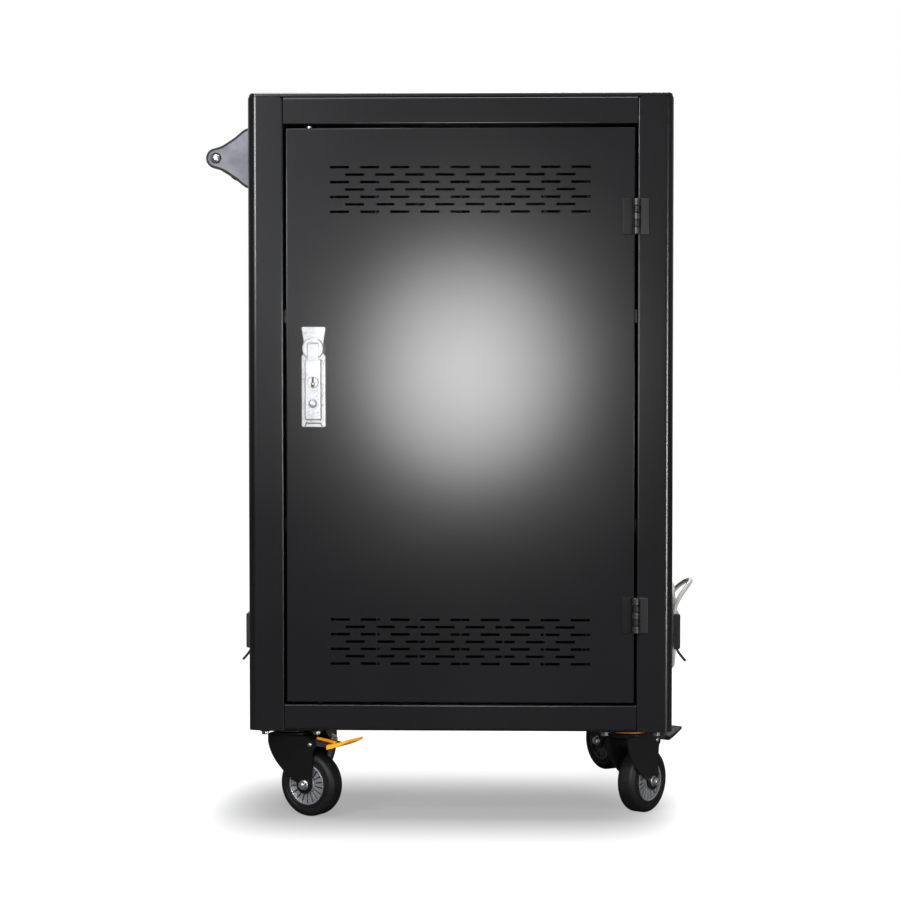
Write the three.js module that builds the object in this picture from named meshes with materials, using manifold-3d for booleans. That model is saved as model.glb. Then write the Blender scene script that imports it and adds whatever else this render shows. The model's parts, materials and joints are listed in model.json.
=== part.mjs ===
// A laptop charging cart: a sheet-metal cabinet on four casters, with a front and a rear door,
// racks for the devices, power strips behind a partition, a push handle and a wound mains cord.
// Millimetres, +Z up, the front door faces -Y. The origin is under the middle of the cart, on the floor.

import * as THREE from 'three';
import { mergeVertices } from 'three/addons/utils/BufferGeometryUtils.js';
import Module from 'manifold-3d';

const wasm = await Module();
wasm.setup();

// Clearances and sheet
const gap = 0.3;
const runningGap = 0.5;
const overcut = 2;
const weld = 1;
const fuse = 0.1;
const sheet = 1.5;

// Cabinet
const cabinetWidth = 645;
const cabinetDepth = 520;
const cabinetHeight = 962;
const cornerRadius = 14;
const topRoll = 3;
const stileWidth = 54.5;
const stileEdgeRadius = 2.5;
const stileTopRadius = 8;
const stileReturn = 18;
const panelFlange = 28;
const headerHeight = 41;
const sillHeight = 40;
const railFlange = 30;
const railReturn = 17;
const railEdgeRadius = 5;
const railFoldRadius = 2;
const coverHeight = 6.5;
const coverInset = 1.5;
const coverCorner = 12;
const coverEdge = 5;
const baseThickness = 2;

// Doors
const doorSideGap = 4;
const doorTopGap = 6;
const doorBottomGap = 4;
const doorDepth = 20;
const doorEdgeRadius = 2;
const ventColumns = 9;
const ventRows = 7;
const ventLength = 29;
const ventHeight = 4;
const ventPitch = 45.6;
const ventRowPitch = 11.2;
const ventInset = 59;
const rearVentRows = 2;

// Butt hinges
const hingeHeight = 54;
const hingeInset = 134;
const hingeLeaf = 2;
const doorLeafReach = 21;
const frameLeafReach = 19;
const knuckleCount = 3;
const knuckleRadius = 5.5;
const hingePinRadius = 2.5;

// Swing-handle lock and its latch rods
const lockInset = 42;
const lockRise = 538;
const lockWidth = 37;
const lockHeadRise = 33;
const lockHeadTopWidth = 37;
const lockWaistWidth = 31;
const lockFootDrop = 119;
const lockThickness = 5.5;
const lockBevel = 2;
const collarRadius = 16.7;
const spindleRadius = 8;
const spindleSquare = 6;
const swingHandleWidth = 22;
const swingHandleLength = 107;
const swingHandleThickness = 9;
const swingHandleLift = 3;
const swingHandleEase = 1.5;
const swingHandleTopClear = 0.5;
const tongueWidth = 12;
const tonguePinRadius = 2;
const collarFront = 1;
const cylinderDrop = 51;
const cylinderRadius = 7;
const cylinderProud = 1;
const keywayWidth = 2;
const keywayHeight = 8;
const keywayDepth = 5;
const buttonDrop = 83;
const buttonRadius = 6;
const buttonTravel = 2.5;
const buttonProud = 3.2;
const buttonEase = 0.8;
const pocketFloor = 1.6;
const camRadius = 19;
const camThickness = 3;
const camPinOrbit = 8;
const camPinRadius = 3;
const camSlack = 0.9;
const rodRadius = 4;
const rodEndThickness = 4;
const rodEndWall = 3;
const rodTipClear = 2.5;

// Rear cam lock
const rearLockInset = 30;
const rearLockRise = 420;
const rearLockHead = 12;
const rearLockBarrel = 9;
const rearLockProud = 4;
const rearLockEase = 1;
const rearCamLength = 44;
const rearCamWidth = 16;
const rearCamThickness = 3;
const rearCamClear = 3;

// Inside
const tierCount = 3;
const bayCount = 8;
const chargerDepth = 120;
const shelfSetback = 6;
const shelfLip = 20;
const rackSideGap = 8;
const rackTray = 4;
const rackTrayMargin = 3;
const finThickness = 2;
const finHeight = 210;
const finCorner = 60;
const finSetback = 12;
const slotsPerTier = 1;
const slotWidth = 400;
const slotHeight = 30;
const slotRise = 215;
const stripLength = 440;
const stripDepth = 32;
const stripHeight = 44;
const stripRise = 120;
const outletSize = 27;
const outletDepth = 3;
const stripCorner = 6;

// Push handle on the left side
const handleRise = 878;
const handleFrontInset = 100;
const handleSpan = 300;
const handleReach = 59.5;
const handleBaseHalf = 53;
const handleTipRadius = 16;
const handleBracketThickness = 12;
const handleBracketBevel = 2;
const handleBarRadius = 12;
const handleFootEase = 13;
const handleWaistShare = 1.97;
const handleTipOpening = Math.PI * 0.64;

// Casters
const casterHeight = 138;
const casterInset = 62;
const casterTrail = 35;
const wheelRadius = 50;
const wheelWidth = 32;
const tyreInner = 32;
const tyreShoulder = 7;
const tyreSegments = 24;
const hubRibs = 10;
const hubRibThickness = 2;
const hubBoss = 13;
const hubRim = 4;
const hubWeb = 8;
const hubRimInset = 1;
const hubRibInset = 5;
const axleRadius = 6;
const axleNutRadius = 9;
const axleNutHeight = 6;
const forkLeg = 3;
const forkLegGap = 2;
const forkEyeRadius = 14;
const forkCrownRadius = 33;
const forkCrownThickness = 5;
const forkHeelWall = 3;
const forkSkirt = 6;
const forkRaceRadius = 30;
const forkRaceHeight = 4;
const kingpinRadius = 7;
const plateLength = 100;
const plateWidth = 86;
const plateThickness = 3.5;
const plateRaceRadius = 27;
const plateRaceHeight = 3.7;
const plateCorner = 8;
const pedalPinReach = 46;
const pedalPinDrop = 25;
const pedalPinRadius = 3;
const pedalBarrel = 6.5;
const pedalReach = 115;
const pedalWidth = 45;
const pedalRise = 11;
const pedalThickness = 4;
const pedalTreadStart = 32;
const pedalCurl = 3;

// Cord cleats on both sides and the mains cord on the right one
const cleatSetback = 240;
const cleatRise = 134;
const cleatPlateHeight = 56;
const cleatPlateThickness = 5.5;
const cleatFlange = 5;
const cleatFlangeThickness = 3;
const cleatPlateBevel = 2;
const cleatPostHalfWidth = 16;
const cleatPostCorner = 4;
const hornRadius = 2.4;
const hornReach = 13;
const hornDrop = 27;
const cordRadius = 3.75;
const cordClear = 0.6;
const cordPitch = 8.7;
const turnsPerLayer = 3;
const tailTurn = 0.25;
const windingRise = 140;
const windingHalfHeight = 68;
const windingHalfWidth = 60;
const stepsPerTurn = 24;
const windingSides = 6;
const cordSides = 6;
const cordSteps = 22;
const glandSetback = 190;
const glandDrop = 78;
const glandRadius = 8;
const glandFlangeRadius = 13;
const glandFlange = 4;
const glandReach = 12;
const glandLength = 38;
const glandNutHeight = 6;
const glandLip = 1;
const tailSpan = 154;
const tailRise = 49;
const tailBulge = 31;
const tailStraight = 12;
const plugRadius = 11;
const plugLength = 30;
const plugNeck = 12;
const plugShoulder = 10;
const bladeLength = 15;
const bladeSpacing = 12.6;
const bladeThickness = 1.6;
const bladeWidth = 6.3;
const earthPinRadius = 2.4;
const earthPinOffset = 5;

// Rest directions of the casters' trails, in degrees from +X
const frontLeftTrail = -30;
const frontRightTrail = 54;
const rearLeftTrail = 77;
const rearRightTrail = 122;

// Sizes that follow from the ones above
const halfWidth = cabinetWidth / 2;
const halfDepth = cabinetDepth / 2;
const bodyBottom = casterHeight;
const bodyTop = bodyBottom + cabinetHeight;
const openingHalf = halfWidth - stileWidth;
const openingBottom = bodyBottom + sillHeight;
const openingTop = bodyTop - headerHeight;
const doorHalf = openingHalf - doorSideGap;
const doorBottom = openingBottom + doorBottomGap;
const doorTop = openingTop - doorTopGap;
const hingeX = openingHalf - doorSideGap / 2;
const hingeY = -halfDepth - knuckleRadius - gap;
const hingeHeights = [doorTop - hingeInset, doorBottom + hingeInset];
const baseTop = bodyBottom + sheet + gap + baseThickness;
const partitionFront = halfDepth - doorDepth - chargerDepth;
const shelfFront = -halfDepth + doorDepth + shelfSetback;
const interiorTop = bodyTop - sheet - gap;
const tierPitch = (interiorTop - baseTop) / tierCount;
const tierFloors = Array.from({ length: tierCount }, (_, tier) => baseTop + tier * tierPitch);
const lockX = -doorHalf + lockInset;
const lockZ = doorBottom + lockRise;

// Finishes
const finish = (color, roughness, metalness) => (
  new THREE.MeshStandardMaterial({ color, roughness, metalness })
);
const blackPowderCoat = finish(0x1b1b1d, 0.45, 0.3);
const blackSteel = finish(0x141414, 0.5, 0.5);
const satinChrome = finish(0xd6d7da, 0.25, 1.0);
const zincSteel = finish(0xa9adb2, 0.4, 1.0);
const blackPlastic = finish(0x1a1a1a, 0.6, 0.0);
const greyPlastic = finish(0x3a3b3e, 0.5, 0.1);
const orangePlastic = finish(0xf39a12, 0.4, 0.0);
const hubGrey = finish(0x9c9ea3, 0.4, 0.4);
const tyreRubber = finish(0x171615, 0.8, 0.0);
const greyCord = finish(0xb9b8b6, 0.5, 0.0);

// Solids: three.js geometry in, joined or cut, three.js geometry out
const unitX = new THREE.Vector3(1, 0, 0);
const unitY = new THREE.Vector3(0, 1, 0);
const unitZ = new THREE.Vector3(0, 0, 1);
const backward = new THREE.Vector3(0, -1, 0);
const axes = {
  x: new THREE.Matrix4().makeBasis(unitY, unitZ, unitX),
  y: new THREE.Matrix4().makeBasis(unitX, unitZ, backward),
  z: new THREE.Matrix4(),
};

function enclosedVolume(position, triangles) {
  const a = new THREE.Vector3();
  const b = new THREE.Vector3();
  const c = new THREE.Vector3();
  let volume = 0;
  for (let i = 0; i < triangles.length; i += 3) {
    a.fromBufferAttribute(position, triangles[i]);
    b.fromBufferAttribute(position, triangles[i + 1]);
    c.fromBufferAttribute(position, triangles[i + 2]);
    volume += a.dot(b.cross(c)) / 6;
  }
  return volume;
}

function solidOf(geometry) {
  const bare = geometry.clone();
  bare.deleteAttribute('normal');
  bare.deleteAttribute('uv');
  const merged = mergeVertices(bare);
  const corners = merged.index.array;
  const triangles = [];
  for (let i = 0; i < corners.length; i += 3) {
    const [a, b, c] = corners.slice(i, i + 3);
    if (a !== b && b !== c && c !== a) {
      triangles.push(a, b, c);
    }
  }
  const position = merged.getAttribute('position');
  if (enclosedVolume(position, triangles) < 0) {
    triangles.reverse();
  }
  const vertProperties = new Float32Array(position.array);
  const triVerts = new Uint32Array(triangles);
  return new wasm.Manifold(new wasm.Mesh({ numProp: 3, vertProperties, triVerts }));
}

function geometryOf(solid) {
  const { vertProperties, triVerts } = solid.getMesh();
  const geometry = new THREE.BufferGeometry();
  geometry.setAttribute('position', new THREE.BufferAttribute(new Float32Array(vertProperties), 3));
  geometry.setIndex(new THREE.BufferAttribute(new Uint32Array(triVerts), 1));
  return geometry;
}

const join = (...solids) => solids.reduce((whole, solid) => whole.add(solid));
const cut = (body, ...tools) => tools.reduce((rest, tool) => rest.subtract(tool), body);
const common = (first, second) => first.intersect(second);
const turned = (solid, matrix) => solidOf(geometryOf(solid).applyMatrix4(matrix));
const aboutFace = new THREE.Matrix4().makeRotationZ(Math.PI);
const mirrorX = new THREE.Matrix4().makeScale(-1, 1, 1);

function block(low, high) {
  const size = high.map((value, axis) => value - low[axis]);
  const centre = high.map((value, axis) => (value + low[axis]) / 2);
  return solidOf(new THREE.BoxGeometry(...size).translate(...centre));
}

// An outline pushed along an axis. It is drawn in (y, z) for x, in (x, z) for y and in (x, y) for z.
function prism(outline, axis, from, to, curveSegments = 5) {
  const depth = to - from;
  const geometry = new THREE.ExtrudeGeometry(outline, { depth, bevelEnabled: false, curveSegments });
  const place = axes[axis].clone();
  place.setPosition(axis === 'x' ? from : 0, axis === 'y' ? to : 0, axis === 'z' ? from : 0);
  return solidOf(geometry.applyMatrix4(place));
}

// The same with its edges eased on both ends, inside the same outline.
function easedPrism(outline, axis, from, to, ease, bevelSegments = 1, curveSegments = 5) {
  const geometry = new THREE.ExtrudeGeometry(outline, {
    depth: to - from - 2 * ease,
    bevelThickness: ease,
    bevelSize: ease,
    bevelOffset: -ease,
    bevelSegments,
    curveSegments,
  });
  geometry.translate(0, 0, ease);
  const place = axes[axis].clone();
  place.setPosition(axis === 'x' ? from : 0, axis === 'y' ? to : 0, axis === 'z' ? from : 0);
  return solidOf(geometry.applyMatrix4(place));
}

function rod(axis, centre, radius, from, to, sides = 16) {
  const geometry = new THREE.CylinderGeometry(radius, radius, to - from, sides);
  geometry.translate(0, (from + to) / 2, 0);
  if (axis === 'x') {
    geometry.rotateZ(-Math.PI / 2).translate(0, centre[0], centre[1]);
  } else if (axis === 'y') {
    geometry.translate(centre[0], 0, centre[1]);
  } else {
    geometry.rotateX(Math.PI / 2).translate(centre[0], centre[1], 0);
  }
  return solidOf(geometry);
}

// A round hole whose flats, not its corners, lie at the given radius, so that a pin can turn in it.
function bore(axis, centre, radius, from, to, sides = 12) {
  return rod(axis, centre, radius / Math.cos(Math.PI / sides), from, to, sides);
}

// A profile of [radius, height] points turned about the height axis, which starts as +Y.
function spun(profile, segments) {
  const points = profile.map(([radius, height]) => new THREE.Vector2(radius, height));
  return new THREE.LatheGeometry(points, segments);
}

const polygon = (points) => new THREE.Shape(points.map(([x, y]) => new THREE.Vector2(x, y)));

// A rectangle whose four corner radii are given from the low-x, low-y one anticlockwise.
function roundedOutline(x0, y0, x1, y1, [r00, r10, r11, r01]) {
  const outline = new THREE.Shape();
  outline.moveTo(x0 + r00, y0);
  outline.lineTo(x1 - r10, y0);
  outline.absarc(x1 - r10, y0 + r10, r10, -Math.PI / 2, 0);
  outline.lineTo(x1, y1 - r11);
  outline.absarc(x1 - r11, y1 - r11, r11, 0, Math.PI / 2);
  outline.lineTo(x0 + r01, y1);
  outline.absarc(x0 + r01, y1 - r01, r01, Math.PI / 2, Math.PI);
  outline.lineTo(x0, y0 + r00);
  outline.absarc(x0 + r00, y0 + r00, r00, Math.PI, 1.5 * Math.PI);
  return outline;
}

function tube(points, radius, steps, sides) {
  const path = new THREE.CatmullRomCurve3(points.map((point) => new THREE.Vector3(...point)));
  const section = new THREE.Shape();
  for (let side = 0; side < sides; side += 1) {
    const angle = (2 * Math.PI * side) / sides;
    const place = [radius * Math.cos(angle), radius * Math.sin(angle)];
    if (side === 0) {
      section.moveTo(...place);
    } else {
      section.lineTo(...place);
    }
  }
  return solidOf(new THREE.ExtrudeGeometry(section, { steps, extrudePath: path, bevelEnabled: false }));
}

const cart = new THREE.Group();
const cordNodes = new Set();

function piece(name, material, solid, parent = cart) {
  const mesh = new THREE.Mesh(geometryOf(solid), material);
  mesh.name = name;
  parent.add(mesh);
  return mesh;
}

// Cabinet: side panels wrap round the front and back as stiles, rails join them at top and bottom

function sidePanelBlock(inset) {
  const inner = openingHalf + inset;
  const outer = halfWidth - inset;
  const depth = halfDepth - inset;
  const low = bodyBottom + inset;
  const high = bodyTop - inset;
  const corner = cornerRadius - inset;
  const edge = stileEdgeRadius - inset;
  const topRadii = [topRoll - inset, stileTopRadius - inset];
  const planOutline = roundedOutline(inner, -depth, outer, depth, [edge, corner, corner, edge]);
  const frontOutline = roundedOutline(inner, low, outer, high, [0, 0, ...topRadii]);
  return common(prism(planOutline, 'z', low, high, 4), prism(frontOutline, 'y', -depth, depth, 3));
}

function sidePanel() {
  const windowDepth = halfDepth - stileReturn;
  const window = block(
    [openingHalf - overcut, -windowDepth, bodyBottom - overcut],
    [halfWidth - panelFlange, windowDepth, bodyTop + overcut],
  );
  return cut(sidePanelBlock(0), sidePanelBlock(sheet), window);
}

// A channel along X whose deep flange is at the top. Its front face is flush with the stiles.
function railChannel(low, high) {
  const face = -halfDepth;
  const radius = railEdgeRadius;
  const fold = railFoldRadius;
  const outline = new THREE.Shape();
  outline.moveTo(face + fold, low);
  outline.lineTo(face + railReturn, low);
  outline.lineTo(face + railReturn, low + sheet);
  outline.lineTo(face + sheet, low + sheet);
  outline.lineTo(face + sheet, high - radius);
  outline.absarc(face + radius, high - radius, radius - sheet, Math.PI, Math.PI / 2, true);
  outline.lineTo(face + railFlange, high - sheet);
  outline.lineTo(face + railFlange, high);
  outline.lineTo(face + radius, high);
  outline.absarc(face + radius, high - radius, radius, Math.PI / 2, Math.PI);
  outline.lineTo(face, low + fold);
  outline.absarc(face + fold, low + fold, fold, Math.PI, 1.5 * Math.PI);
  return prism(outline, 'x', -openingHalf + gap, openingHalf - gap, 4);
}

function sillChannel() {
  const flip = new THREE.Matrix4().makeScale(1, 1, -1).setPosition(0, 0, bodyBottom + openingBottom);
  return turned(railChannel(bodyBottom, openingBottom), flip);
}

function topCover() {
  const low = bodyTop + gap;
  const high = low + coverHeight;
  const x = halfWidth - coverInset;
  const y = halfDepth - coverInset;
  const corners = Array(4).fill(coverCorner);
  const outline = roundedOutline(-x, -y, x, y, corners);
  const eased = easedPrism(outline, 'z', low - coverEdge, high, coverEdge, 3, 3);
  const below = block([-x - overcut, -y - overcut, low - coverHeight], [x + overcut, y + overcut, low]);
  const pocketX = x - coverEdge;
  const pocketY = y - coverEdge;
  const pocketCorners = Array(4).fill(coverCorner - coverEdge);
  const pocketOutline = roundedOutline(-pocketX, -pocketY, pocketX, pocketY, pocketCorners);
  return cut(eased, below, prism(pocketOutline, 'z', low - overcut, high - sheet, 3));
}

function basePanel() {
  const wide = halfWidth - sheet - gap;
  const narrow = openingHalf - gap;
  const short = halfDepth - stileReturn - gap;
  const long = halfDepth - railEdgeRadius - gap;
  const outline = polygon([
    [-wide, -short], [-narrow, -short], [-narrow, -long], [narrow, -long], [narrow, -short], [wide, -short],
    [wide, short], [narrow, short], [narrow, long], [-narrow, long], [-narrow, short], [-wide, short],
  ]);
  return prism(outline, 'z', baseTop - baseThickness, baseTop);
}

// Doors: shallow pans with two blocks of staggered vent slots

function ventHoles(rows) {
  const holes = [];
  const blocks = [doorTop - ventInset - (rows - 1) * ventRowPitch, doorBottom + ventInset];
  for (const lowest of blocks) {
    for (let row = 0; row < rows; row += 1) {
      const columns = row % 2 === 0 ? ventColumns : ventColumns - 1;
      const z = lowest + row * ventRowPitch;
      for (let column = 0; column < columns; column += 1) {
        const x = (column - (columns - 1) / 2) * ventPitch;
        const half = [ventLength / 2, ventHeight / 2];
        holes.push(polygon([
          [x - half[0], z - half[1]], [x - half[0], z + half[1]],
          [x + half[0], z + half[1]], [x + half[0], z - half[1]],
        ]));
      }
    }
  }
  return holes;
}

function doorPan(rows) {
  const face = -halfDepth;
  const back = face + doorDepth;
  const edge = doorEdgeRadius;
  const planOutline = roundedOutline(-doorHalf, face, doorHalf, back, [edge, edge, 0, 0]);
  const sideOutline = roundedOutline(face, doorBottom, back, doorTop, [edge, 0, 0, edge]);
  const plan = prism(planOutline, 'z', doorBottom, doorTop, 3);
  const side = prism(sideOutline, 'x', -doorHalf, doorHalf, 3);
  const hollow = block(
    [-doorHalf + sheet, face + sheet, doorBottom + sheet],
    [doorHalf - sheet, back + overcut, doorTop - sheet],
  );
  let pan = cut(common(plan, side), hollow);
  for (const hole of ventHoles(rows)) {
    pan = cut(pan, prism(hole, 'y', face - overcut, face + sheet + overcut));
  }
  return pan;
}

// Butt hinge: the frame leaf has the odd knuckles and the pin, the door leaf has the ones between them.
// The leaves lie on the front faces; seat is the space kept under them.

function knuckleSpans(centreZ, first) {
  const length = hingeHeight / knuckleCount;
  const spans = [];
  for (let knuckle = first; knuckle < knuckleCount; knuckle += 2) {
    const low = centreZ - hingeHeight / 2 + knuckle * length;
    spans.push([low, low + length]);
  }
  return spans;
}

function doorHingeLeaf(centreZ, seat) {
  const face = -halfDepth - seat;
  const low = centreZ - hingeHeight / 2;
  const high = centreZ + hingeHeight / 2;
  const plateEnd = hingeX - knuckleRadius - runningGap;
  const leafFront = -halfDepth - gap - hingeLeaf;
  const solids = [block([hingeX - doorLeafReach, leafFront, low], [plateEnd, face, high])];
  for (const [from, to] of knuckleSpans(centreZ, 1)) {
    const span = [from + runningGap, to - runningGap];
    solids.push(block([plateEnd - overcut, leafFront, span[0]], [hingeX, -halfDepth - gap, span[1]]));
    solids.push(rod('z', [hingeX, hingeY], knuckleRadius, ...span, 12));
  }
  return cut(join(...solids), bore('z', [hingeX, hingeY], hingePinRadius + gap, low, high, 8));
}

function frameHingeLeaf(centreZ, seat) {
  const face = -halfDepth - seat;
  const low = centreZ - hingeHeight / 2;
  const high = centreZ + hingeHeight / 2;
  const plateStart = hingeX + knuckleRadius + runningGap;
  const leafFront = -halfDepth - gap - hingeLeaf;
  const solids = [block([plateStart, leafFront, low], [hingeX + frameLeafReach, face, high])];
  for (const [from, to] of knuckleSpans(centreZ, 0)) {
    solids.push(block([hingeX, leafFront, from], [plateStart + overcut, -halfDepth - gap, to]));
    solids.push(rod('z', [hingeX, hingeY], knuckleRadius, from, to, 12));
  }
  return join(...solids, rod('z', [hingeX, hingeY], hingePinRadius, low, high, 8));
}

// Swing-handle lock: housing on the door, a turret that turns in it, and a handle that tips out of it

const housingFront = -halfDepth - gap - lockThickness;
const handleBack = housingFront - gap - swingHandleLift;
const handleFront = handleBack - swingHandleThickness;
const tiltY = (handleBack + handleFront) / 2;
const handleTop = lockZ - collarRadius - gap - swingHandleTopClear;
const camFront = -halfDepth + sheet + gap;
const camBack = camFront + camThickness;
const rodFront = camBack + gap;
const rodCentreY = rodFront + rodRadius;
const pinOffset = camPinOrbit * Math.SQRT1_2;
const rodOffset = (camPinOrbit + pinOffset) / 2;

function lockHousing() {
  const top = lockZ + lockHeadRise;
  const bottom = lockZ - lockFootDrop;
  const half = lockWidth / 2;
  const outline = polygon([
    [lockX - half, bottom], [lockX + half, bottom], [lockX + half, lockZ],
    [lockX + lockWaistWidth / 2, lockZ + collarRadius], [lockX + lockHeadTopWidth / 2, top],
    [lockX - lockHeadTopWidth / 2, top], [lockX - lockWaistWidth / 2, lockZ + collarRadius],
    [lockX - half, lockZ],
  ]);
  const plate = easedPrism(outline, 'y', housingFront, -halfDepth - gap, lockBevel);
  return cut(plate, bore('y', [lockX, lockZ], spindleRadius + gap, housingFront - overcut, -halfDepth, 16));
}

function lockTurret() {
  const collarY = handleFront - collarFront;
  const collar = easedPrism(
    new THREE.Shape().absarc(lockX, lockZ, collarRadius, 0, 2 * Math.PI),
    'y', collarY, housingFront - gap, collarFront, 1, 12,
  );
  const half = tongueWidth / 2 + gap;
  const slotTop = lockZ + swingHandleThickness / 2 + runningGap;
  const slot = block(
    [lockX - half, collarY - overcut, lockZ - collarRadius - overcut],
    [lockX + half, handleBack + runningGap, slotTop],
  );
  const reach = collarRadius + overcut;
  const pinBore = bore('x', [tiltY, lockZ], tonguePinRadius + gap, lockX - reach, lockX + reach);
  const spindle = rod('y', [lockX, lockZ], spindleRadius, housingFront - overcut, camFront - gap);
  const side = spindleSquare / 2;
  const square = block(
    [lockX - side, camFront - overcut, lockZ - side],
    [lockX + side, camBack, lockZ + side],
  );
  return join(cut(collar, slot, pinBore), spindle, square);
}

function swingHandle() {
  const half = swingHandleWidth / 2;
  const bottom = lockZ - swingHandleLength;
  const corners = [half / 2, half / 2, 0, 0];
  const barOutline = roundedOutline(lockX - half, bottom, lockX + half, handleTop, corners);
  const bar = easedPrism(barOutline, 'y', handleFront, handleBack, swingHandleEase, 1, 2);
  const tongueHalf = tongueWidth / 2;
  const radius = swingHandleThickness / 2;
  const tongue = block(
    [lockX - tongueHalf, handleFront, handleTop - overcut],
    [lockX + tongueHalf, handleBack, lockZ],
  );
  const eye = rod('x', [tiltY, lockZ], radius, lockX - tongueHalf, lockX + tongueHalf, 12);
  const pinReach = collarRadius - overcut;
  const pin = rod('x', [tiltY, lockZ], tonguePinRadius, lockX - pinReach, lockX + pinReach, 12);
  const pocketBack = handleBack - pocketFloor;
  const pockets = [[cylinderDrop, cylinderRadius], [buttonDrop, buttonRadius]].map(([drop, size]) => (
    bore('y', [lockX, lockZ - drop], size + gap, handleFront - overcut, pocketBack, 12)
  ));
  return join(cut(join(bar, tongue), ...pockets), eye, pin);
}

function keywaySlot(x, front, z) {
  const halfX = keywayWidth / 2;
  const halfZ = keywayHeight / 2;
  return block([x - halfX, front - overcut, z - halfZ], [x + halfX, front + keywayDepth, z + halfZ]);
}

function keyCylinder() {
  const front = handleFront - cylinderProud;
  const z = lockZ - cylinderDrop;
  const barrel = rod('y', [lockX, z], cylinderRadius, front, handleBack - pocketFloor - gap, 16);
  const keyway = keywaySlot(lockX, front, z);
  return cut(barrel, keyway);
}

function pushButton() {
  const back = handleBack - pocketFloor - gap - buttonTravel;
  const outline = new THREE.Shape().absarc(lockX, lockZ - buttonDrop, buttonRadius, 0, 2 * Math.PI);
  return easedPrism(outline, 'y', handleFront - buttonProud, back, buttonEase, 1, 8);
}

// The cam's two pins stand on a diagonal, so that a quarter turn draws both rods in by the same amount.
function latchCam() {
  const plate = rod('y', [lockX, lockZ], camRadius, camFront, camBack, 24);
  const side = spindleSquare / 2 + gap;
  const square = block(
    [lockX - side, camFront - overcut, lockZ - side],
    [lockX + side, camBack + overcut, lockZ + side],
  );
  const pinEnd = rodFront + rodEndThickness;
  const pins = [-1, 1].map((sign) => (
    rod('y', [lockX + sign * pinOffset, lockZ - sign * pinOffset], camPinRadius, camBack - weld, pinEnd, 12)
  ));
  return join(cut(plate, square), ...pins);
}

// direction is 1 for the rod that runs up from the cam and -1 for the one that runs down.
function latchRod(direction) {
  const x = lockX - direction * rodOffset;
  const z = lockZ + direction * pinOffset;
  const slotHalfX = (camPinOrbit - pinOffset) / 2 + camPinRadius + camSlack;
  const slotHalfZ = camPinRadius + camSlack;
  const endHalfX = Math.min(slotHalfX + rodEndWall, rodOffset - gap);
  const endHalfZ = slotHalfZ + rodEndWall;
  const rodBack = rodFront + rodEndThickness;
  const rodEnd = block([x - endHalfX, rodFront, z - endHalfZ], [x + endHalfX, rodBack, z + endHalfZ]);
  const slot = block(
    [x - slotHalfX, rodFront - overcut, z - slotHalfZ],
    [x + slotHalfX, rodBack + overcut, z + slotHalfZ],
  );
  const start = z + direction * (slotHalfZ + weld);
  const tip = direction > 0 ? openingTop - rodTipClear : openingBottom + rodTipClear;
  const shaft = rod('z', [x, rodCentreY], rodRadius, Math.min(start, tip), Math.max(start, tip), 12);
  return join(cut(rodEnd, slot), shaft);
}

function latchedDoor() {
  const holes = [bore('y', [lockX, lockZ], spindleRadius + gap, -halfDepth - overcut, camFront, 16)];
  for (const direction of [1, -1]) {
    const edge = direction > 0 ? doorTop : doorBottom;
    const place = [lockX - direction * rodOffset, rodCentreY];
    holes.push(bore('z', place, rodRadius + runningGap, edge - sheet - overcut, edge + sheet + overcut));
  }
  return cut(doorPan(ventRows), ...holes);
}

// Rear door and its cam lock, drawn as for the front and then turned about

const rearLockX = -doorHalf + rearLockInset;
const rearLockZ = doorBottom + rearLockRise;

function rearDoor() {
  const place = [rearLockX, rearLockZ];
  const hole = bore('y', place, rearLockBarrel + gap, -halfDepth - overcut, -halfDepth + doorDepth);
  const leaves = hingeHeights.map((height) => doorHingeLeaf(height, -fuse));
  return join(cut(doorPan(rearVentRows), hole), ...leaves);
}

function rearLock() {
  const place = [rearLockX, rearLockZ];
  const camStart = -halfDepth + doorDepth + rearCamClear;
  const camEnd = camStart + rearCamThickness;
  const outline = new THREE.Shape().absarc(...place, rearLockHead, 0, 2 * Math.PI);
  const headBack = -halfDepth - gap;
  const head = easedPrism(outline, 'y', headBack - rearLockProud, headBack, rearLockEase, 1, 6);
  const barrel = rod('y', place, rearLockBarrel, headBack - weld, camStart + weld, 12);
  const half = rearCamWidth / 2;
  const low = rearLockZ - half;
  const corners = Array(4).fill(half / 2);
  const camOutline = roundedOutline(rearLockX - half, low, rearLockX + half, low + rearCamLength, corners);
  const cam = prism(camOutline, 'y', camStart, camEnd, 2);
  return cut(join(head, barrel, cam), keywaySlot(rearLockX, headBack - rearLockProud, rearLockZ));
}

// Inside: partition with cable slots, shelves, divider racks and power strips

function partition() {
  const half = halfWidth - sheet - gap;
  const rear = partitionFront + sheet;
  const outline = roundedOutline(-half, baseTop + gap, half, interiorTop, [0, 0, topRoll, topRoll]);
  const spacing = (2 * openingHalf) / slotsPerTier;
  const slots = [];
  for (const floor of tierFloors) {
    for (let slot = 0; slot < slotsPerTier; slot += 1) {
      const x = (slot - (slotsPerTier - 1) / 2) * spacing;
      const z = floor + slotRise;
      slots.push(block(
        [x - slotWidth / 2, partitionFront - overcut, z],
        [x + slotWidth / 2, rear + overcut, z + slotHeight],
      ));
    }
  }
  return cut(prism(outline, 'y', partitionFront, rear, 2), ...slots);
}

function shelf(floor) {
  const half = halfWidth - sheet - gap;
  const rear = partitionFront - gap;
  const outline = polygon([
    [shelfFront, floor - shelfLip], [shelfFront + sheet, floor - shelfLip],
    [shelfFront + sheet, floor - sheet], [rear - sheet, floor - sheet],
    [rear - sheet, floor - shelfLip], [rear, floor - shelfLip], [rear, floor], [shelfFront, floor],
  ]);
  return prism(outline, 'x', -half, half);
}

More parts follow.
